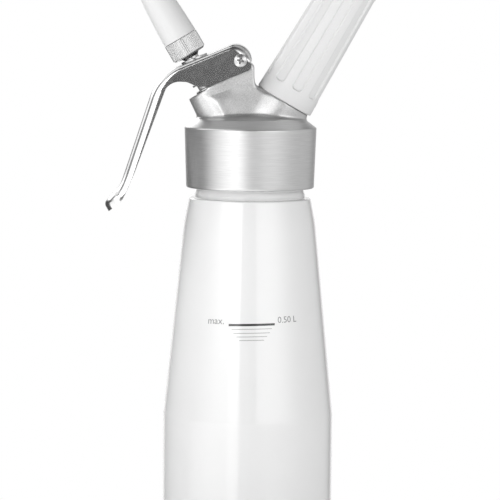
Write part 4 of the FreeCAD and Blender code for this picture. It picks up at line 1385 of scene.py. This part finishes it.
# %% The floor
FLOOR_SIDES = 96
floor_vertices, floor_faces = [(0, 0, 0)], []
for k, ring_radius in enumerate((0.02, 0.04, 0.06, 0.08, 0.10, 0.13)):
    for i in range(FLOOR_SIDES):
        angle = 2 * math.pi * i / FLOOR_SIDES
        floor_vertices.append((ring_radius * math.cos(angle), ring_radius * math.sin(angle), 0))
        a = 1 + FLOOR_SIDES * k + i
        b = 1 + FLOOR_SIDES * k + (i + 1) % FLOOR_SIDES
        floor_faces.append((0, a, b) if k == 0 else (a - FLOOR_SIDES, a, b, b - FLOOR_SIDES))
floor_mesh = bpy.data.meshes.new("floor")
floor_mesh.from_pydata(floor_vertices, [], floor_faces)
floor = bpy.data.objects.new("floor", floor_mesh)
floor.location = (0, 0, -0.0002)
bpy.context.scene.collection.objects.link(floor)

floor_paint = bpy.data.materials.new("floor_paint")
floor_paint.use_nodes = True
tree = Tree(floor_paint.node_tree)
place = tree.node("ShaderNodeTexCoord", output="Object")
from_middle = tree.node("ShaderNodeVectorMath", {"operation": "LENGTH"}, {0: place}, "Value")
fade = tree.smooth(from_middle, 0.055, 0.12)
mottle = tree.noise(place, 30.0, 3.0)
paper = tree.node("ShaderNodeBsdfDiffuse", {}, {
    "Color": tree.colour(mottle, grey(0.80), grey(0.83))})
rays = tree.node("ShaderNodeLightPath")
seen = rays.math("MAXIMUM", rays.part("Is Glossy Ray"))
seen = seen.math("MAXIMUM", rays.part("Is Transmission Ray"))
lit = seen + (1.0 - seen) * 1.3
glow = tree.node("ShaderNodeEmission", {}, {"Color": grey(1.0), "Strength": lit})
mixed = tree.node("ShaderNodeMixShader", {}, {0: fade, 1: paper, 2: glow})
tree.node("ShaderNodeOutputMaterial", {}, {"Surface": mixed})
floor_mesh.materials.append(floor_paint)
print("floor faces:", len(floor_mesh.polygons))


# %% The studio
def panel(tree, azimuth, elevation, left, right, low, high, edges):
    """A panel on the sky, in degrees: edges are its softness left, right, low and high."""
    soft_left, soft_right, soft_low, soft_high = edges
    mask = tree.smooth(azimuth, left - soft_left, left + soft_left)
    mask = mask * (1.0 - tree.smooth(azimuth, right - soft_right, right + soft_right))
    mask = mask * tree.smooth(elevation, low - soft_low, low + soft_low)
    return mask * (1.0 - tree.smooth(elevation, high - soft_high, high + soft_high))


world = bpy.data.worlds.new("studio")
bpy.context.scene.world = world
world.use_nodes = True
tree = Tree(world.node_tree)
direction = tree.node("ShaderNodeTexCoord", output="Generated")
apart = tree.node("ShaderNodeSeparateXYZ", {}, {0: direction})
degree = 180 / math.pi
azimuth = apart.math("ARCTAN2", 0.0 - apart.part("Y")) * degree
elevation = apart.part("Z").math("ARCSINE") * degree
backdrop = tree.smooth(azimuth.math("ABSOLUTE"), 150.0, 162.0)
backdrop = backdrop * (1.0 - tree.smooth(elevation, 15.0, 30.0))
backdrop = backdrop * tree.smooth(elevation, -35.0, -20.0)
ceiling = tree.smooth(elevation, 38.0, 50.0) * tree.smooth(azimuth, 60.0, 90.0)
light = 0.11 + backdrop * 0.85 + ceiling * 0.44
studio_panels = {
    "softbox": (1.15, -66, -13, -9, 27, (18, 1, 3, 7)),
    "softbox middle": (2.4, -50, -13, 6, 24, (10, 1, 5, 4)),
    "softbox edge": (1.3, -27, -12, -20, 7, (4, 1, 4, 3)),
    "table in front": (1.5, -22, 20, -36, -14, (6, 12, 10, 3)),
    "table at the left": (1.3, -84, -22, -60, -8, (8, 6, 15, 3)),
    "table below": (1.2, -84, 60, -120, -36, (10, 30, 1, 10)),
    "reflector": (1.5, 12, 60, -1, 28, (2, 20, 4, 6)),
    "wall at the right": (0.58, 22, 140, -50, 40, (8, 12, 12, 10)),
    "ceiling at the left": (1.1, -130, -48, 32, 120, (15, 10, 5, 1)),
    "window behind": (2.9, -170, -92, 14, 36, (8, 10, 8, 5)),
}
for strength, left, right, low, high, edges in studio_panels.values():
    light = light + panel(tree, azimuth, elevation, left, right, low, high, edges) * strength
by_eye = tree.node("ShaderNodeLightPath").part("Is Camera Ray")
strength = light * (1.0 - by_eye) + by_eye
sky = tree.node("ShaderNodeBackground", {}, {"Color": grey(1.0), "Strength": strength})
tree.node("ShaderNodeOutputWorld", {}, {"Surface": sky})
print("studio is painted")

# %% [markdown]
# ## The camera
# A long lens from the front, a little above the object, so that upright edges stay parallel.

# %% The camera
camera = bpy.data.objects.new("camera", bpy.data.cameras.new("camera"))
bpy.context.scene.collection.objects.link(camera)
bpy.context.scene.camera = camera
camera.data.lens = 252.0
camera.data.sensor_width = 36.0
camera.data.clip_start = 0.05
CAMERA_RISE, CAMERA_ROLL, CAMERA_FAR = math.radians(4.75), math.radians(0.56), 1.69
aim = Vector((0.0003, 0.0, 0.1458))
outward = Vector((0, -math.cos(CAMERA_RISE), math.sin(CAMERA_RISE)))
turn = outward.to_track_quat("Z", "Y").to_matrix().to_4x4()
turn = turn @ Matrix.Rotation(CAMERA_ROLL, 4, "Z")
camera.matrix_world = Matrix.Translation(aim + outward * CAMERA_FAR) @ turn
bpy.context.scene.view_settings.view_transform = "Standard"
print("camera at", [round(v, 3) for v in camera.matrix_world.translation])
